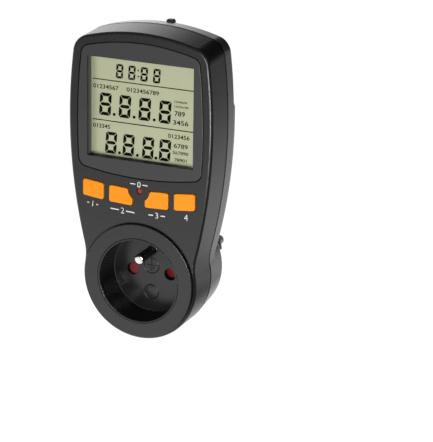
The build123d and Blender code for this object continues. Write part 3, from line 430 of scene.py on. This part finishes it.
# The plug's own pins are dulled by a thin film of oxide, so that they scatter part of the light and look pale
worn_nickel = metal("worn_nickel_plate", "#f0eee8", "#e6e3db", 0.45, 0.25, 0.0015, (6.0, 0.6, 6.0), bare=0.3)

dress(nickel, "earth_strap")
dress(worn_nickel, "live_pin", "neutral_pin")
dress(brass, "live_contact", "neutral_contact")
dress(spring_wire, "shutter_spring", "battery_spring", "battery_plate")
dress(manganin, "shunt_resistor")
dress(can_steel, "button_cells", "crystal")
dress(tin, "board_header")

# Electrical parts

# Solder mask over glass laminate: green lacquer with the copper's outlines under it
laminate = moulded("green_solder_mask", "#1f6a3a", "#185a30", 0.30, 0.5, 0.01, 3.0)
# Moulded epoxy of the chips
chip_epoxy = moulded("black_epoxy", "#232325", "#2b2b2d", 0.5, 0.3, 0.01, 2.0)
# Conductive rubber strips between the board and the display
strip_rubber = moulded("conductive_rubber", "#5c5c58", "#3c3c3a", 0.7, 0.4, 0.02, 1.0)
# Push switch bodies and their plungers
switch_nylon = moulded("black_nylon", "#26262a", "#1f1f22", 0.45, 0.4, 0.01, 3.0)
# Soft leads' insulation
brown_pvc = moulded("brown_pvc", "#5a3420", "#4d2c1b", 0.42, 0.5, 0.006, 4.0)
blue_pvc = moulded("blue_pvc", "#2c5d9c", "#26528a", 0.42, 0.5, 0.006, 4.0)
# Film capacitor's box
capacitor_box = moulded("yellow_polyester_box", "#d8b53c", "#cba933", 0.4, 0.4, 0.01, 4.0)
# Dipped varistor and the electrolytic's shrunk sleeve
varistor_epoxy = moulded("blue_dipped_epoxy", "#2f5f98", "#284f84", 0.3, 0.9, 0.02, 2.0)
capacitor_sleeve = moulded("shrunk_pvc_sleeve", "#23262c", "#2c3038", 0.35, 0.5, 0.005, 3.0)

dress(laminate, "control_board", "power_board")
dress(chip_epoxy, "display_controller", "metering_chip")
dress(strip_rubber, "contact_strips")
dress(switch_nylon, "key_switches", "set_plunger", "energy_plunger", "cost_plunger", "up_plunger",
      "reset_plunger")
dress(brown_pvc, "live_in_lead", "live_out_lead")
dress(blue_pvc, "neutral_lead")
dress(capacitor_box, "dropper_capacitor")
dress(varistor_epoxy, "varistor")
dress(capacitor_sleeve, "filter_capacitor")

# Window: cast acrylic with a coat against glare, quite clear, so that the figures behind it stay black
window_acrylic, tree, output = new_finish("clear_acrylic")
window_place = add_node(tree, "ShaderNodeTexCoord").outputs["Object"]
window_ripple = add_node(tree, "ShaderNodeTexNoise", {"Vector": window_place, "Scale": 1 / (14 * mm),
                                                      "Detail": 1.0})
window_bump = add_node(tree, "ShaderNodeBump", {"Height": window_ripple.outputs["Fac"],
                                                "Distance": 0.01 * mm, "Strength": 1.0})
window_gloss = add_node(tree, "ShaderNodeBsdfGlossy", {"Roughness": 0.05, "Color": linear("#ffffff"),
                                                       "Normal": window_bump.outputs["Normal"]})
window_clear = add_node(tree, "ShaderNodeBsdfTransparent", {"Color": linear("#fbfdf8")})
window_fresnel = add_node(tree, "ShaderNodeFresnel", {"IOR": 1.12})
window_mix = add_node(tree, "ShaderNodeMixShader", {0: window_fresnel.outputs["Fac"],
                                                    1: window_clear.outputs["BSDF"],
                                                    2: window_gloss.outputs["BSDF"]})
tree.links.new(window_mix.outputs["Shader"], output.inputs["Surface"])
dress(window_acrylic, "display_window")

# Display cell: glass plates with a grey-green reflector behind them
reflector = moulded("grey_green_reflector", "#b5b2a1", "#b1ae9d", 0.45, 0.35, 0.004, 9.0, gloss=0.0)
# Liquid crystal that is switched on looks near black, with a hint of green
dark_segments = moulded("switched_segments", "#0a0c07", "#0e110a", 0.4, 0.3, 0.003, 3.0, gloss=0.0)
# The small marks and lines are thinner, so more of the reflector shows through
thin_segments = moulded("thin_display_marks", "#1a1e0e", "#20240f", 0.45, 0.3, 0.003, 3.0, gloss=0.0)

# Display cell: rear plate, and a front plate set in from its edge

cell_low, cell_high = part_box("lcd_glass")
cell_back = -cell_high.y / mm
cell_front = -cell_low.y / mm
front_plate = 0.4
plate_inset = 1.2
plate_step = 0.1
cell_edge = 0.25
reflector_front = cell_front - front_plate
marks_back = reflector_front + plate_step
segment_depth = 0.06
# Shares of a bar's stroke
mitre_share = 0.28
middle_share = 0.55
gap_share = 0.12
# Share of a point's size
dot_corner_share = 0.25
# Height that is left at a middle bar's tip, over its stroke, and a figure's lean to the right over its height
tip_share = 0.02
digit_lean = 0.06

display_cell = block("display_cell", (cell_low.x / mm, -reflector_front, cell_low.z / mm),
                     (cell_high.x / mm, -cell_back, cell_high.z / mm))
pick(display_cell, "faces", lambda centre, normal: normal.y < -0.9)
bpy.ops.mesh.inset(thickness=plate_inset * mm)
bpy.ops.transform.translate(value=(0, -plate_step * mm, 0))
display_cell = close(display_cell)
bevel_edges(display_cell, cell_edge, 2, lambda a, b: abs(a.y - b.y) > 1)
wear(display_cell, reflector, "case", "lcd_glass")


def edge_bar(name, length, stroke):
    """A digit's outer bar: its outer side is longer than its inner side, so that corners meet in a mitre."""
    bar = block(name, (-length / 2, -segment_depth / 2, -stroke), (length / 2, segment_depth / 2, 0))
    pick(bar, "corners", lambda corner: corner.z < -stroke / 2)
    bpy.ops.transform.resize(value=((length - 2 * stroke) / length, 1, 1), center_override=(0, 0, 0))
    close(bar)
    return bevel_edges(bar, stroke * mitre_share, 1,
                       lambda a, b: abs(a.y - b.y) > segment_depth / 2 and a.z > -stroke / 4)


def middle_bar(name, length, stroke):
    """A digit's middle bar: pointed at both ends."""
    bar = block(name, (-length / 2 + stroke / 2, -segment_depth / 2, -stroke / 2),
                (length / 2 - stroke / 2, segment_depth / 2, stroke / 2))
    for side in (-1, 1):
        pick(bar, "faces", lambda centre, normal: normal.x * side > 0.9)
        bpy.ops.mesh.extrude_region_move(TRANSFORM_OT_translate={"value": (side * stroke / 2 * mm, 0, 0)})
        bpy.ops.transform.resize(value=(1, 1, tip_share), center_override=(0, 0, 0))
        close(bar)
    return bar


def seven_bar_digit(name, width, height, stroke, gap):
    """A figure eight of seven bars, centred on the origin, that leans a little to the right."""
    half = width / 2
    side_length = height / 2 - gap
    flat = edge_bar("flat_bar", width - 2 * gap, stroke)
    upright = edge_bar("upright_bar", side_length - gap, stroke)
    centre_bar = middle_bar("centre_bar", width - middle_share * stroke, stroke)
    bars = [duplicate(flat, "top", shift(0, 0, height / 2)),
            duplicate(flat, "bottom", Matrix.Rotation(math.pi, 4, "Y"))]
    bars[1].data.transform(shift(0, 0, -height / 2))
    for side in (-1, 1):
        for level in (-1, 1):
            bar = duplicate(upright, "side", Matrix.Rotation(side * math.pi / 2, 4, "Y"))
            bar.data.transform(shift(side * half, 0, level * (height / 4)))
            bars.append(bar)
    bars.append(centre_bar)
    drop(flat)
    drop(upright)
    digit = join(name, bars)
    lean = Matrix.Identity(4)
    lean[0][2] = digit_lean
    digit.data.transform(lean)
    return digit


def dot(name, size):
    """A decimal point or half of a colon: a small square with rounded corners."""
    point = block(name, (-size / 2, -segment_depth / 2, -size / 2), (size / 2, segment_depth / 2, size / 2))
    return bevel_edges(point, size * dot_corner_share, 2, lambda a, b: abs(a.y - b.y) > segment_depth / 2)


def digit_row(name, centres, level, width, height, stroke, dots):
    """A row of figures about a level, lying on the reflector, with its points: x, z and size of each."""
    pattern = seven_bar_digit("digit_pattern", width, height, stroke, gap_share * stroke)
    h = marks_back + segment_depth / 2
    parts = [duplicate(pattern, "digit", shift(x, h, level)) for x in centres]
    drop(pattern)
    for x, z, size in dots:
        point = dot("point_pattern", size)
        parts.append(duplicate(point, "point", shift(x, h, z)))
        drop(point)
    row = join(name, parts)
    wear(row, dark_segments, "case", "lcd_glass")
    return row


digit_row("display_figures_top", [-12.5, -6.4, -0.3, 5.95], 95.95, 3.5, 6.6, 1.0,
          [(-3.2, 97.4, 0.75), (-3.2, 94.6, 0.75)])
digit_row("display_figures_middle", [-19.6, -9.8, 0.1, 10.15], 79.8, 5.8, 10.5, 1.55,
          [(-15.2, 75.5, 1.3), (-5.2, 75.5, 1.3), (4.8, 75.5, 1.3)])
digit_row("display_figures_bottom", [-16.7, -7.9, 1.85, 10.25], 62.0, 5.6, 10.1, 1.5,
          [(-12.5, 57.8, 1.3), (-3.5, 57.8, 1.3), (5.8, 57.8, 1.3)])

# Small plain figures and lines on the display: the first figure, and the left, right, low and high side of
# each row's box

mark_weight = 0.012
divider_half_length = 26.0
divider_half = 0.23
divider_edge = 0.1
marks = [
    digits_between("mark", first, left, right, low, high, marks_back, segment_depth, mark_weight)
    for first, left, right, low, high in (
        (0, -25.8, -13.0, 86.9, 88.9), (0, -9.0, 7.1, 87.0, 89.0), (1, 14.7, 20.8, 84.8, 85.8),
        (1, 14.7, 21.7, 82.6, 83.6), (7, 14.8, 19.9, 78.7, 81.0), (3, 14.1, 21.7, 74.6, 76.8),
        (0, -25.8, -17.2, 68.4, 70.3), (0, 11.7, 22.3, 68.1, 70.1), (6, 14.6, 21.5, 63.8, 65.9),
        (5, 14.1, 21.8, 60.8, 62.4), (7, 15.0, 21.0, 57.6, 59.1))
]
for level in (91.15, 72.2):
    line = block("divider", (-divider_half_length, -marks_back - segment_depth, level - divider_half),
                 (divider_half_length, -marks_back, level + divider_half))
    marks.append(bevel_edges(line, divider_edge, 1, lambda a, b: abs(a.y - b.y) > segment_depth / 2))
display_marks = join("display_marks", marks)
wear(display_marks, thin_segments, "case", "lcd_glass")

# Pad-printed figures under the keys and over the reset button; they follow the keys' arc

face_h = 35.6
print_thickness = 0.03
print_sink = 0.005
label_level = 32.2
arc_rise = 412.0
figure_half = 1.05
figure_rise = 1.4
bar_start = 1.75
bar_half = 0.26
bar_corner = 0.2
reset_place = (-0.2, 45.8)
reset_bar = 2.65


def numbered_label(figure, bar_length):
    """A figure, with a bar of this length on either side unless it is 0, on the plane of the origin."""
    parts = [digits_between("figure", figure, -figure_half, figure_half, -figure_rise, figure_rise, 0,
                            print_thickness)]
    if bar_length:
        for side in (-1, 1):
            inner, outer = sorted((side * bar_start, side * (bar_start + bar_length)))
            bar = block("bar", (inner, -print_thickness, -bar_half), (outer, 0, bar_half))
            parts.append(bevel_edges(bar, bar_corner, 3, lambda a, b: abs(a.y - b.y) > print_thickness / 2))
    return join("label", parts)


labels = []
for x, figure, bar_length in ((-23.5, 1, 1.1), (-8.4, 2, 4.4), (8.8, 3, 2.4), (23.3, 4, 0.0)):
    label = numbered_label(figure, bar_length)
    label.data.transform(shift(x, face_h - print_sink, label_level + x * x / arc_rise)
                         @ Matrix.Rotation(-2 * x / arc_rise, 4, "Y"))
    labels.append(label)
reset_label = numbered_label(0, reset_bar)
reset_label.data.transform(shift(reset_place[0], face_h - print_sink, reset_place[1]))
printed_labels = join("printed_labels", labels + [reset_label])
wear(printed_labels, printed_ink, "case")

# Marks moulded into the outlet's floor: an earth symbol in its ring, and a bare round boss

floor_h = 22.0
symbol_level = 2.9
symbol_radius = 3.7
mark_height = 0.18
mark_edge = 0.08
mark_sink = 0.02
line_half = 0.25


def floor_ring(name, level, radius):
    """A raised ring on the outlet's floor: the upper half of a torus."""
    clear_selection()
    bpy.ops.mesh.primitive_torus_add(major_segments=64, minor_segments=8, major_radius=radius * mm,
                                     minor_radius=line_half * mm, location=(0, -floor_h * mm, level * mm),
                                     rotation=(math.pi / 2, 0, 0))
    ring = settle(bpy.context.object, name)
    pick(ring, "corners", lambda corner: -corner.y < floor_h - line_half / 5)
    bpy.ops.mesh.delete(type="VERT")
    return close(ring)


symbol_parts = [floor_ring("ring", symbol_level, symbol_radius)]
bars = [(-line_half, line_half, symbol_level + line_half, symbol_level + symbol_radius)]
for half, level in ((2.3, 0.2), (1.4, -1.0), (0.6, -2.2)):
    bars.append((-half, half, symbol_level + level - line_half, symbol_level + level + line_half))
for left, right, low, high in bars:
    bar = block("bar", (left, -floor_h - mark_height, low), (right, -floor_h + mark_sink, high))
    symbol_parts.append(bevel_edges(bar, mark_edge, 2,
                                    lambda a, b: min(-a.y, -b.y) > floor_h + mark_height / 2))
earth_symbol = join("earth_symbol", symbol_parts)
# The symbol's darker black is painted shade along its lines
wear(earth_symbol, painted_shade_abs, "case")

boss_level = -10.0
boss_radius = 3.5
boss_rise = 0.14
boss_edge = 0.1
# The ring's darker black is painted shade round the boss
boss_ring = wear(floor_ring("boss_ring", boss_level, boss_radius), painted_shade_abs, "case")
bare_boss = round_bar("bare_boss", 0.0, boss_level, floor_h + boss_rise, floor_h - mark_sink, boss_radius, 64)
bevel_edges(bare_boss, boss_edge, 2, lambda a, b: min(-a.y, -b.y) > floor_h + boss_rise / 2)
smooth_within(bare_boss, 30)
wear(bare_boss, satin_abs, "case")

# Painted shade where the two shells meet: a narrow band of darker black on either side of the gap, cut from a
# copy of each shell, stands in for the shade in the seam

parting_height = 17.7
half_gap = 0.31
band_width = 0.5
# The bands stand proud of the shells by a few hundredths of a millimetre
band_swell = (1.0008, 1, 1.0005)
band_middle = (0, 0, 0.045)


def cut_level(piece, height, keep_front):
    """Cuts a piece across at a height over the wall, closes it and keeps the front or the back of it."""
    pick(piece, "faces", every_face)
    bpy.ops.mesh.bisect(plane_co=(0, -height * mm, 0), plane_no=(0, 1, 0), use_fill=True,
                        clear_outer=keep_front, clear_inner=not keep_front)
    return close(piece)


bands = []
for node, back in (("rear_shell", parting_height - half_gap - band_width),
                   ("front_shell", parting_height + half_gap)):
    band = merge_corners(duplicate(nodes[node], "band", Matrix.Identity(4)))
    cut_level(band, back, True)
    cut_level(band, back + band_width, False)
    bands.append(band)
parting_shade_band = join("parting_shade_band", bands)
pick(parting_shade_band, "faces", every_face)
bpy.ops.transform.resize(value=band_swell, center_override=band_middle)
close(parting_shade_band)
wear(parting_shade_band, painted_shade_abs, "case")

# Earth pin: a turned post with a domed end, standing in a black root that fills the hole in the floor

pin_low, pin_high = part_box("earth_pin")
pin_level = (pin_low.z + pin_high.z) / 2 / mm
pin_front = -pin_low.y / mm
pin_back = -pin_high.y / mm
flange_radius = (pin_high.x - pin_low.x) / 2 / mm
floor_thickness = 2.0
floor_back = floor_h - floor_thickness
pin_radius, root_radius, stud_radius = 2.4, 2.6, 1.5
flange_thickness = 1.2
dome_round, flange_round, stud_round, root_round = 1.1, 0.15, 0.2, 0.12
earth_post = round_bar("earth_post", 0, pin_level, pin_front, floor_back, pin_radius, 64)
bevel_edges(earth_post, dome_round, 6, lambda a, b: min(-a.y, -b.y) > pin_front - same_level)
flange_back = floor_back - flange_thickness
earth_flange = round_bar("earth_flange", 0, pin_level, floor_back, flange_back, flange_radius, 64)
bevel_edges(earth_flange, flange_round, 2, lambda a, b: abs(a.y - b.y) < same_level)
earth_stud = round_bar("earth_stud", 0, pin_level, flange_back, pin_back, stud_radius, 40)
bevel_edges(earth_stud, stud_round, 2, lambda a, b: max(-a.y, -b.y) < pin_back + same_level)
earth_root = round_bar("earth_root", 0, pin_level, floor_h - same_level, floor_back, root_radius, 64)
bevel_edges(earth_root, root_round, 2, lambda a, b: min(-a.y, -b.y) > floor_h - 2 * same_level)
metal_pin = join("turned_earth_pin", [earth_post, earth_flange, earth_stud])
for piece in (metal_pin, earth_root):
    smooth_within(piece, 35)
wear(metal_pin, nickel, "case", "earth_pin")
wear(earth_root, polished_abs, "case", "earth_pin")

# Small radius at the foot of the recess's wall, which catches light as a thin pale arc round the floor; it
# wears the front's lighter satin black instead of the cup's polished black, a painted highlight that
# strengthens the arc

recess_radius = 19.3
foot_radius = 0.35
clear_selection()
bpy.ops.mesh.primitive_torus_add(major_segments=128, minor_segments=12,
                                 major_radius=(recess_radius - foot_radius) * mm,
                                 minor_radius=foot_radius * mm,
                                 location=(0, -(floor_h + foot_radius) * mm, 0),
                                 rotation=(math.pi / 2, 0, 0))
foot_arc = settle(bpy.context.object, "recess_foot")
pick(foot_arc, "corners", lambda corner: -corner.y > floor_h + foot_radius + same_level
     or math.hypot(corner.x, corner.z) < recess_radius - foot_radius - same_level)
bpy.ops.mesh.delete(type="VERT")
pick(foot_arc, "faces", every_face)
bpy.ops.mesh.flip_normals()
close(foot_arc)
# The lighter satin black on the arc is painted highlight
wear(foot_arc, satin_abs, "case")

# Screws: domed heads with a cross recess, on a shank that ends in a cone


def screw_places(node, spread):
    """The axis and depth of each screw in a node: x, z, lowest and highest height, in millimetres."""
    groups = []
    for vertex in nodes[node].data.vertices:
        place = vertex.co / mm
        for group in groups:
            if abs(group[0].x - place.x) < spread and abs(group[0].z - place.z) < spread:
                group.append(place)
                break
        else:
            groups.append([place])
    found = []
    for group in groups:
        across = [v.x for v in group]
        up = [v.z for v in group]
        deep = [-v.y for v in group]
        found.append(((min(across) + max(across)) / 2, (min(up) + max(up)) / 2, min(deep), max(deep)))
    return found


# Shares of a screw head's radius: its dome, and the cross's reach and half width
dome_share = 0.16
arm_share = 0.62
slot_share = 0.2
# The cross's depth over the head's height, and how far it narrows along and across its arms to the bottom
depth_share = 0.62
narrow_along, narrow_across = 0.35, 0.5
# The shank's tip over its radius
shank_tip = 0.15


def cross_head_screw(name, head_radius, head_height, shank_radius, length):
    """A screw whose head's top lies on the plane of the origin and faces the wall; its shank goes out."""
    head = round_bar(name, 0, 0, head_height, 0, head_radius, 40)
    bevel_edges(head, head_radius * dome_share, 4, lambda a, b: max(-a.y, -b.y) < same_level)
    pick(head, "faces", lambda centre, normal: normal.y < -0.9)
    bpy.ops.mesh.inset(thickness=(head_radius - shank_radius) * mm)
    bpy.ops.mesh.extrude_region_move(TRANSFORM_OT_translate={"value": (0, -(length - shank_radius) * mm, 0)})
    bpy.ops.mesh.extrude_region_move(TRANSFORM_OT_translate={"value": (0, -shank_radius * mm, 0)})
    bpy.ops.transform.resize(value=(shank_tip, 1, shank_tip), center_override=(0, 0, 0))
    close(head)
    arm = head_radius * arm_share
    slot_half = head_radius * slot_share
    cutters = []
    for turn in (0, 90):
        cutter = block("cutter", (-arm, -head_height * depth_share, -slot_half), (arm, 1.0, slot_half))
        pick(cutter, "corners", lambda corner: corner.y < 0)
        bpy.ops.transform.resize(value=(narrow_along, 1, narrow_across), center_override=(0, 0, 0))
        close(cutter)
        cutter.data.transform(Matrix.Rotation(math.radians(turn), 4, "Y"))
        cutters.append(cutter)
    for cutter in cutters:
        select_only(head)
        cut = head.modifiers.new("cross", "BOOLEAN")
        cut.operation = "DIFFERENCE"
        cut.solver = "EXACT"
        cut.object = cutter
        bpy.ops.object.modifier_apply(modifier=cut.name)
    for cutter in cutters:
        drop(cutter)
    return smooth_within(head, 35)


head_height_case = 1.8
head_height_small = 1.2
# No two screws stop at the same turn: each is this many degrees further round than the one before it
turn_step = 37
for node, label, head_radius, head_height, shank_radius, faces_wall in (
        ("case_screws", "case_screw", 2.6, head_height_case, 1.4, True),
        ("control_board_screws", "control_board_screw", 1.8, head_height_small, 0.9, True),
        ("carrier_screws", "carrier_screw", 1.8, head_height_small, 0.9, True),
        ("insert_screws", "insert_screw", 1.53, head_height_small, 0.9, False),
        ("power_board_screws", "power_board_screw", 1.8, head_height_small, 0.9, False)):
    places = screw_places(node, 4 * head_radius)
    length = places[0][3] - places[0][2] - head_height
    pattern = cross_head_screw("screw_pattern", head_radius, head_height, shank_radius, length)
    for number, (x, z, low, high) in enumerate(places, 1):
        turn = Matrix.Rotation(math.radians(turn_step * number), 4, "Y")
        if faces_wall:
            change = shift(x, low, z) @ turn
        else:
            change = shift(x, high, z) @ Matrix.Rotation(math.pi, 4, "Z") @ turn
        screw = duplicate(pattern, f"{label}_{number}", change)
        wear(screw, zinc_steel, "case", node)
    drop(pattern)

# Grip ridges on the battery cover's tab, on the side that the thumb pulls

cover_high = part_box("battery_cover")[1]
tab_back = -cover_high.y / mm
tab_top = cover_high.z / mm
tab_x = 2.2
ridge_half_length = 1.6
ridge_half_height = 0.18
ridge_pitch = 0.9
ridge_rise = 0.15
ridge_sink = 0.02
ridge_edge = 0.1
ridges = []
for step in range(1, 4):
    level = tab_top - ridge_pitch * step
    ridge = block("ridge", (tab_x - ridge_half_length, -tab_back - ridge_sink, level - ridge_half_height),
                  (tab_x + ridge_half_length, -tab_back + ridge_rise, level + ridge_half_height))
    ridges.append(bevel_edges(ridge, ridge_edge, 2, lambda a, b: min(a.y, b.y) > -tab_back + ridge_rise / 2))
# The ridges wear the rear half's black with its painted sheen
tab_ridges = wear(join("tab_ridges", ridges), rear_abs_painted_sheen, "battery_door")

# Stage: a pale floor under the collar, and soft light

floor_gap = 0.2
floor_size = 12
pulp_width = 2.5
floor_level = cad_box[0].z - floor_gap * mm
clear_selection()
bpy.ops.mesh.primitive_plane_add(size=floor_size, location=(0, 0, floor_level))
floor = bpy.context.object
floor.name = "floor"

# Matt white table: white to the eye, with the meter's soft shadow; in the meter's reflections it is bright
# behind the meter and to the front left, and falls off towards the dark room on the right
floor_card, tree, output = new_finish("white_table")
floor_place = add_node(tree, "ShaderNodeTexCoord").outputs["Object"]
floor_pulp = add_node(tree, "ShaderNodeTexNoise", {"Vector": floor_place, "Scale": 1 / (pulp_width * mm),
                                                   "Detail": 2.0})
floor_tint = add_node(tree, "ShaderNodeMix", {0: floor_pulp.outputs["Fac"], 6: linear("#b4b4b4"),
                                              7: linear("#b8b8b8")}, data_type="RGBA")
floor_matt = add_node(tree, "ShaderNodeBsdfDiffuse", {"Color": floor_tint.outputs[2]})
floor_path = add_node(tree, "ShaderNodeLightPath")
floor_seen = add_node(tree, "ShaderNodeMath", {0: floor_path.outputs["Is Camera Ray"],
                                               1: floor_path.outputs["Is Transmission Ray"]},
                      operation="MAXIMUM")
floor_glow = add_node(tree, "ShaderNodeEmission", {"Color": linear("#ffffff"), "Strength": 0.95})
floor_both = add_node(tree, "ShaderNodeAddShader", {0: floor_matt.outputs["BSDF"],
                                                    1: floor_glow.outputs["Emission"]})
floor_mix = add_node(tree, "ShaderNodeMixShader", {0: floor_seen.outputs[0], 1: floor_matt.outputs["BSDF"],
                                                   2: floor_both.outputs["Shader"]})
floor_split = add_node(tree, "ShaderNodeSeparateXYZ", {"Vector": floor_place})
floor_fall = add_node(tree, "ShaderNodeMapRange", {"Value": floor_split.outputs["Y"], "From Min": -0.03,
                                                   "From Max": 0.1, "To Min": 0.04, "To Max": 1.0},
                      interpolation_type="SMOOTHSTEP")
floor_far = add_node(tree, "ShaderNodeMapRange", {"Value": floor_split.outputs["X"], "From Min": 0.07,
                                                  "From Max": 0.24, "To Min": 0.8, "To Max": 0.28},
                     interpolation_type="SMOOTHSTEP")
floor_behind = add_node(tree, "ShaderNodeMath", {0: floor_fall.outputs["Result"],
                                                 1: floor_far.outputs["Result"]}, operation="MULTIPLY")
floor_left = add_node(tree, "ShaderNodeMapRange", {"Value": floor_split.outputs["X"], "From Min": 0.06,
                                                   "From Max": 0.0, "To Min": 0.0, "To Max": 1.0},
                      interpolation_type="SMOOTHSTEP")
floor_near = add_node(tree, "ShaderNodeMapRange", {"Value": floor_split.outputs["Y"], "From Min": -0.45,
                                                   "From Max": -0.12, "To Min": 0.22, "To Max": 1.25})
floor_front = add_node(tree, "ShaderNodeMath", {0: floor_left.outputs["Result"],
                                                1: floor_near.outputs["Result"]}, operation="MULTIPLY")
floor_level_seen = add_node(tree, "ShaderNodeMath", {0: floor_behind.outputs[0], 1: floor_front.outputs[0]},
                            operation="MAXIMUM")
floor_mirrored = add_node(tree, "ShaderNodeEmission", {"Color": linear("#ffffff"),
                                                       "Strength": floor_level_seen.outputs[0]})
floor_last = add_node(tree, "ShaderNodeMixShader", {0: floor_path.outputs["Is Glossy Ray"],
                                                    1: floor_mix.outputs["Shader"],
                                                    2: floor_mirrored.outputs["Emission"]})
tree.links.new(floor_last.outputs["Shader"], output.inputs["Surface"])
floor.data.materials.append(floor_card)

# White background for the eye and through glass; in reflections a dim room with a bright wall behind to the
# left
bright_side = Vector((-0.75, 0.66, 0.0))
world = bpy.data.worlds.new("studio_room")
bpy.context.scene.world = world
world.use_nodes = True
sky = world.node_tree
sky.nodes.clear()
sky_out = add_node(sky, "ShaderNodeOutputWorld")
sky_path = add_node(sky, "ShaderNodeLightPath")
sky_seen = add_node(sky, "ShaderNodeMath", {0: sky_path.outputs["Is Camera Ray"],
                                            1: sky_path.outputs["Is Transmission Ray"]}, operation="MAXIMUM")
sky_light = add_node(sky, "ShaderNodeBackground", {"Color": linear("#ffffff"), "Strength": 0.15})
sky_white = add_node(sky, "ShaderNodeBackground", {"Color": linear("#ffffff"), "Strength": 1.0})
sky_way = add_node(sky, "ShaderNodeTexCoord").outputs["Generated"]
sky_side = add_node(sky, "ShaderNodeVectorMath", {0: sky_way, 1: bright_side},
                    operation="DOT_PRODUCT")
sky_wall = add_node(sky, "ShaderNodeMapRange", {"Value": sky_side.outputs["Value"], "From Min": 0.69,
                                                "From Max": 0.96, "To Min": 0.02, "To Max": 1.7},
                    interpolation_type="SMOOTHSTEP")
sky_room = add_node(sky, "ShaderNodeBackground", {"Color": linear("#ffffff"),
                                                  "Strength": sky_wall.outputs["Result"]})
sky_mix = add_node(sky, "ShaderNodeMixShader", {0: sky_seen.outputs[0], 1: sky_light.outputs["Background"],
                                                2: sky_white.outputs["Background"]})
sky_last = add_node(sky, "ShaderNodeMixShader", {0: sky_path.outputs["Is Glossy Ray"],
                                                 1: sky_mix.outputs["Shader"],
                                                 2: sky_room.outputs["Background"]})
sky.links.new(sky_last.outputs["Shader"], sky_out.inputs["Surface"])

# Middle of the meter, which the lamps face
middle = Vector((0, -0.018, 0.045))


def softbox(name, direction, distance, width, height, watts):
    """A rectangular lamp that faces the meter from a direction, with its distance and size in metres."""
    data = bpy.data.lights.new(name, "AREA")
    data.shape = "RECTANGLE"
    data.size = width
    data.size_y = height
    data.energy = watts
    lamp = bpy.data.objects.new(name, data)
    bpy.context.scene.collection.objects.link(lamp)
    lamp.location = middle + Vector(direction).normalized() * distance
    lamp.rotation_mode = "QUATERNION"
    lamp.rotation_quaternion = (middle - lamp.location).to_track_quat("-Z", "Y")
    return lamp


front_lamp = softbox("softbox_front", (-0.4, -0.88, 0.2), 1.1, 0.4, 0.35, 4.3)
front_lamp.visible_glossy = False
# Small lamps near the meter draw the thin highlights along its edges; they light only what they fall on
edge_lamp_distance = 0.35
for edge_lamp in (softbox("strip_low_right", (0.115, -0.36, -0.035), edge_lamp_distance, 0.04, 0.065, 0.7),
                  softbox("strip_upper_right", (0.146, -0.969, 0.206), edge_lamp_distance, 0.04, 0.05, 0.25)):
    edge_lamp.data.cycles.max_bounces = 0

# Camera, solved from the photograph: turn, height, roll and distance in degrees and millimetres

turn, height, roll, distance = math.radians(23.65), math.radians(18.39), math.radians(0.91), 1100.0
slide_right, slide_up, collar_front = 36.08, 27.5, 37.0
focal_pixels, long_side, sensor = 2409.0, 442, 36.0
across = Vector((math.cos(turn), math.sin(turn), 0))
ahead = Vector((-math.sin(turn) * math.cos(height), math.cos(turn) * math.cos(height), -math.sin(height)))
upward = across.cross(ahead)
right = across * math.cos(roll) + upward * math.sin(roll)
top = upward * math.cos(roll) - across * math.sin(roll)
eye = right * slide_right + top * slide_up - ahead * distance + Vector((0, -collar_front, 0))
camera_data = bpy.data.cameras.new("camera")
camera_data.lens = focal_pixels * sensor / long_side
camera_data.sensor_width = sensor
camera = bpy.data.objects.new("camera", camera_data)
bpy.context.scene.collection.objects.link(camera)
pose = Matrix((right, top, -ahead)).transposed().to_4x4()
pose.translation = eye * mm
camera.matrix_world = pose
bpy.context.scene.camera = camera

bpy.context.scene.view_settings.view_transform = "Standard"
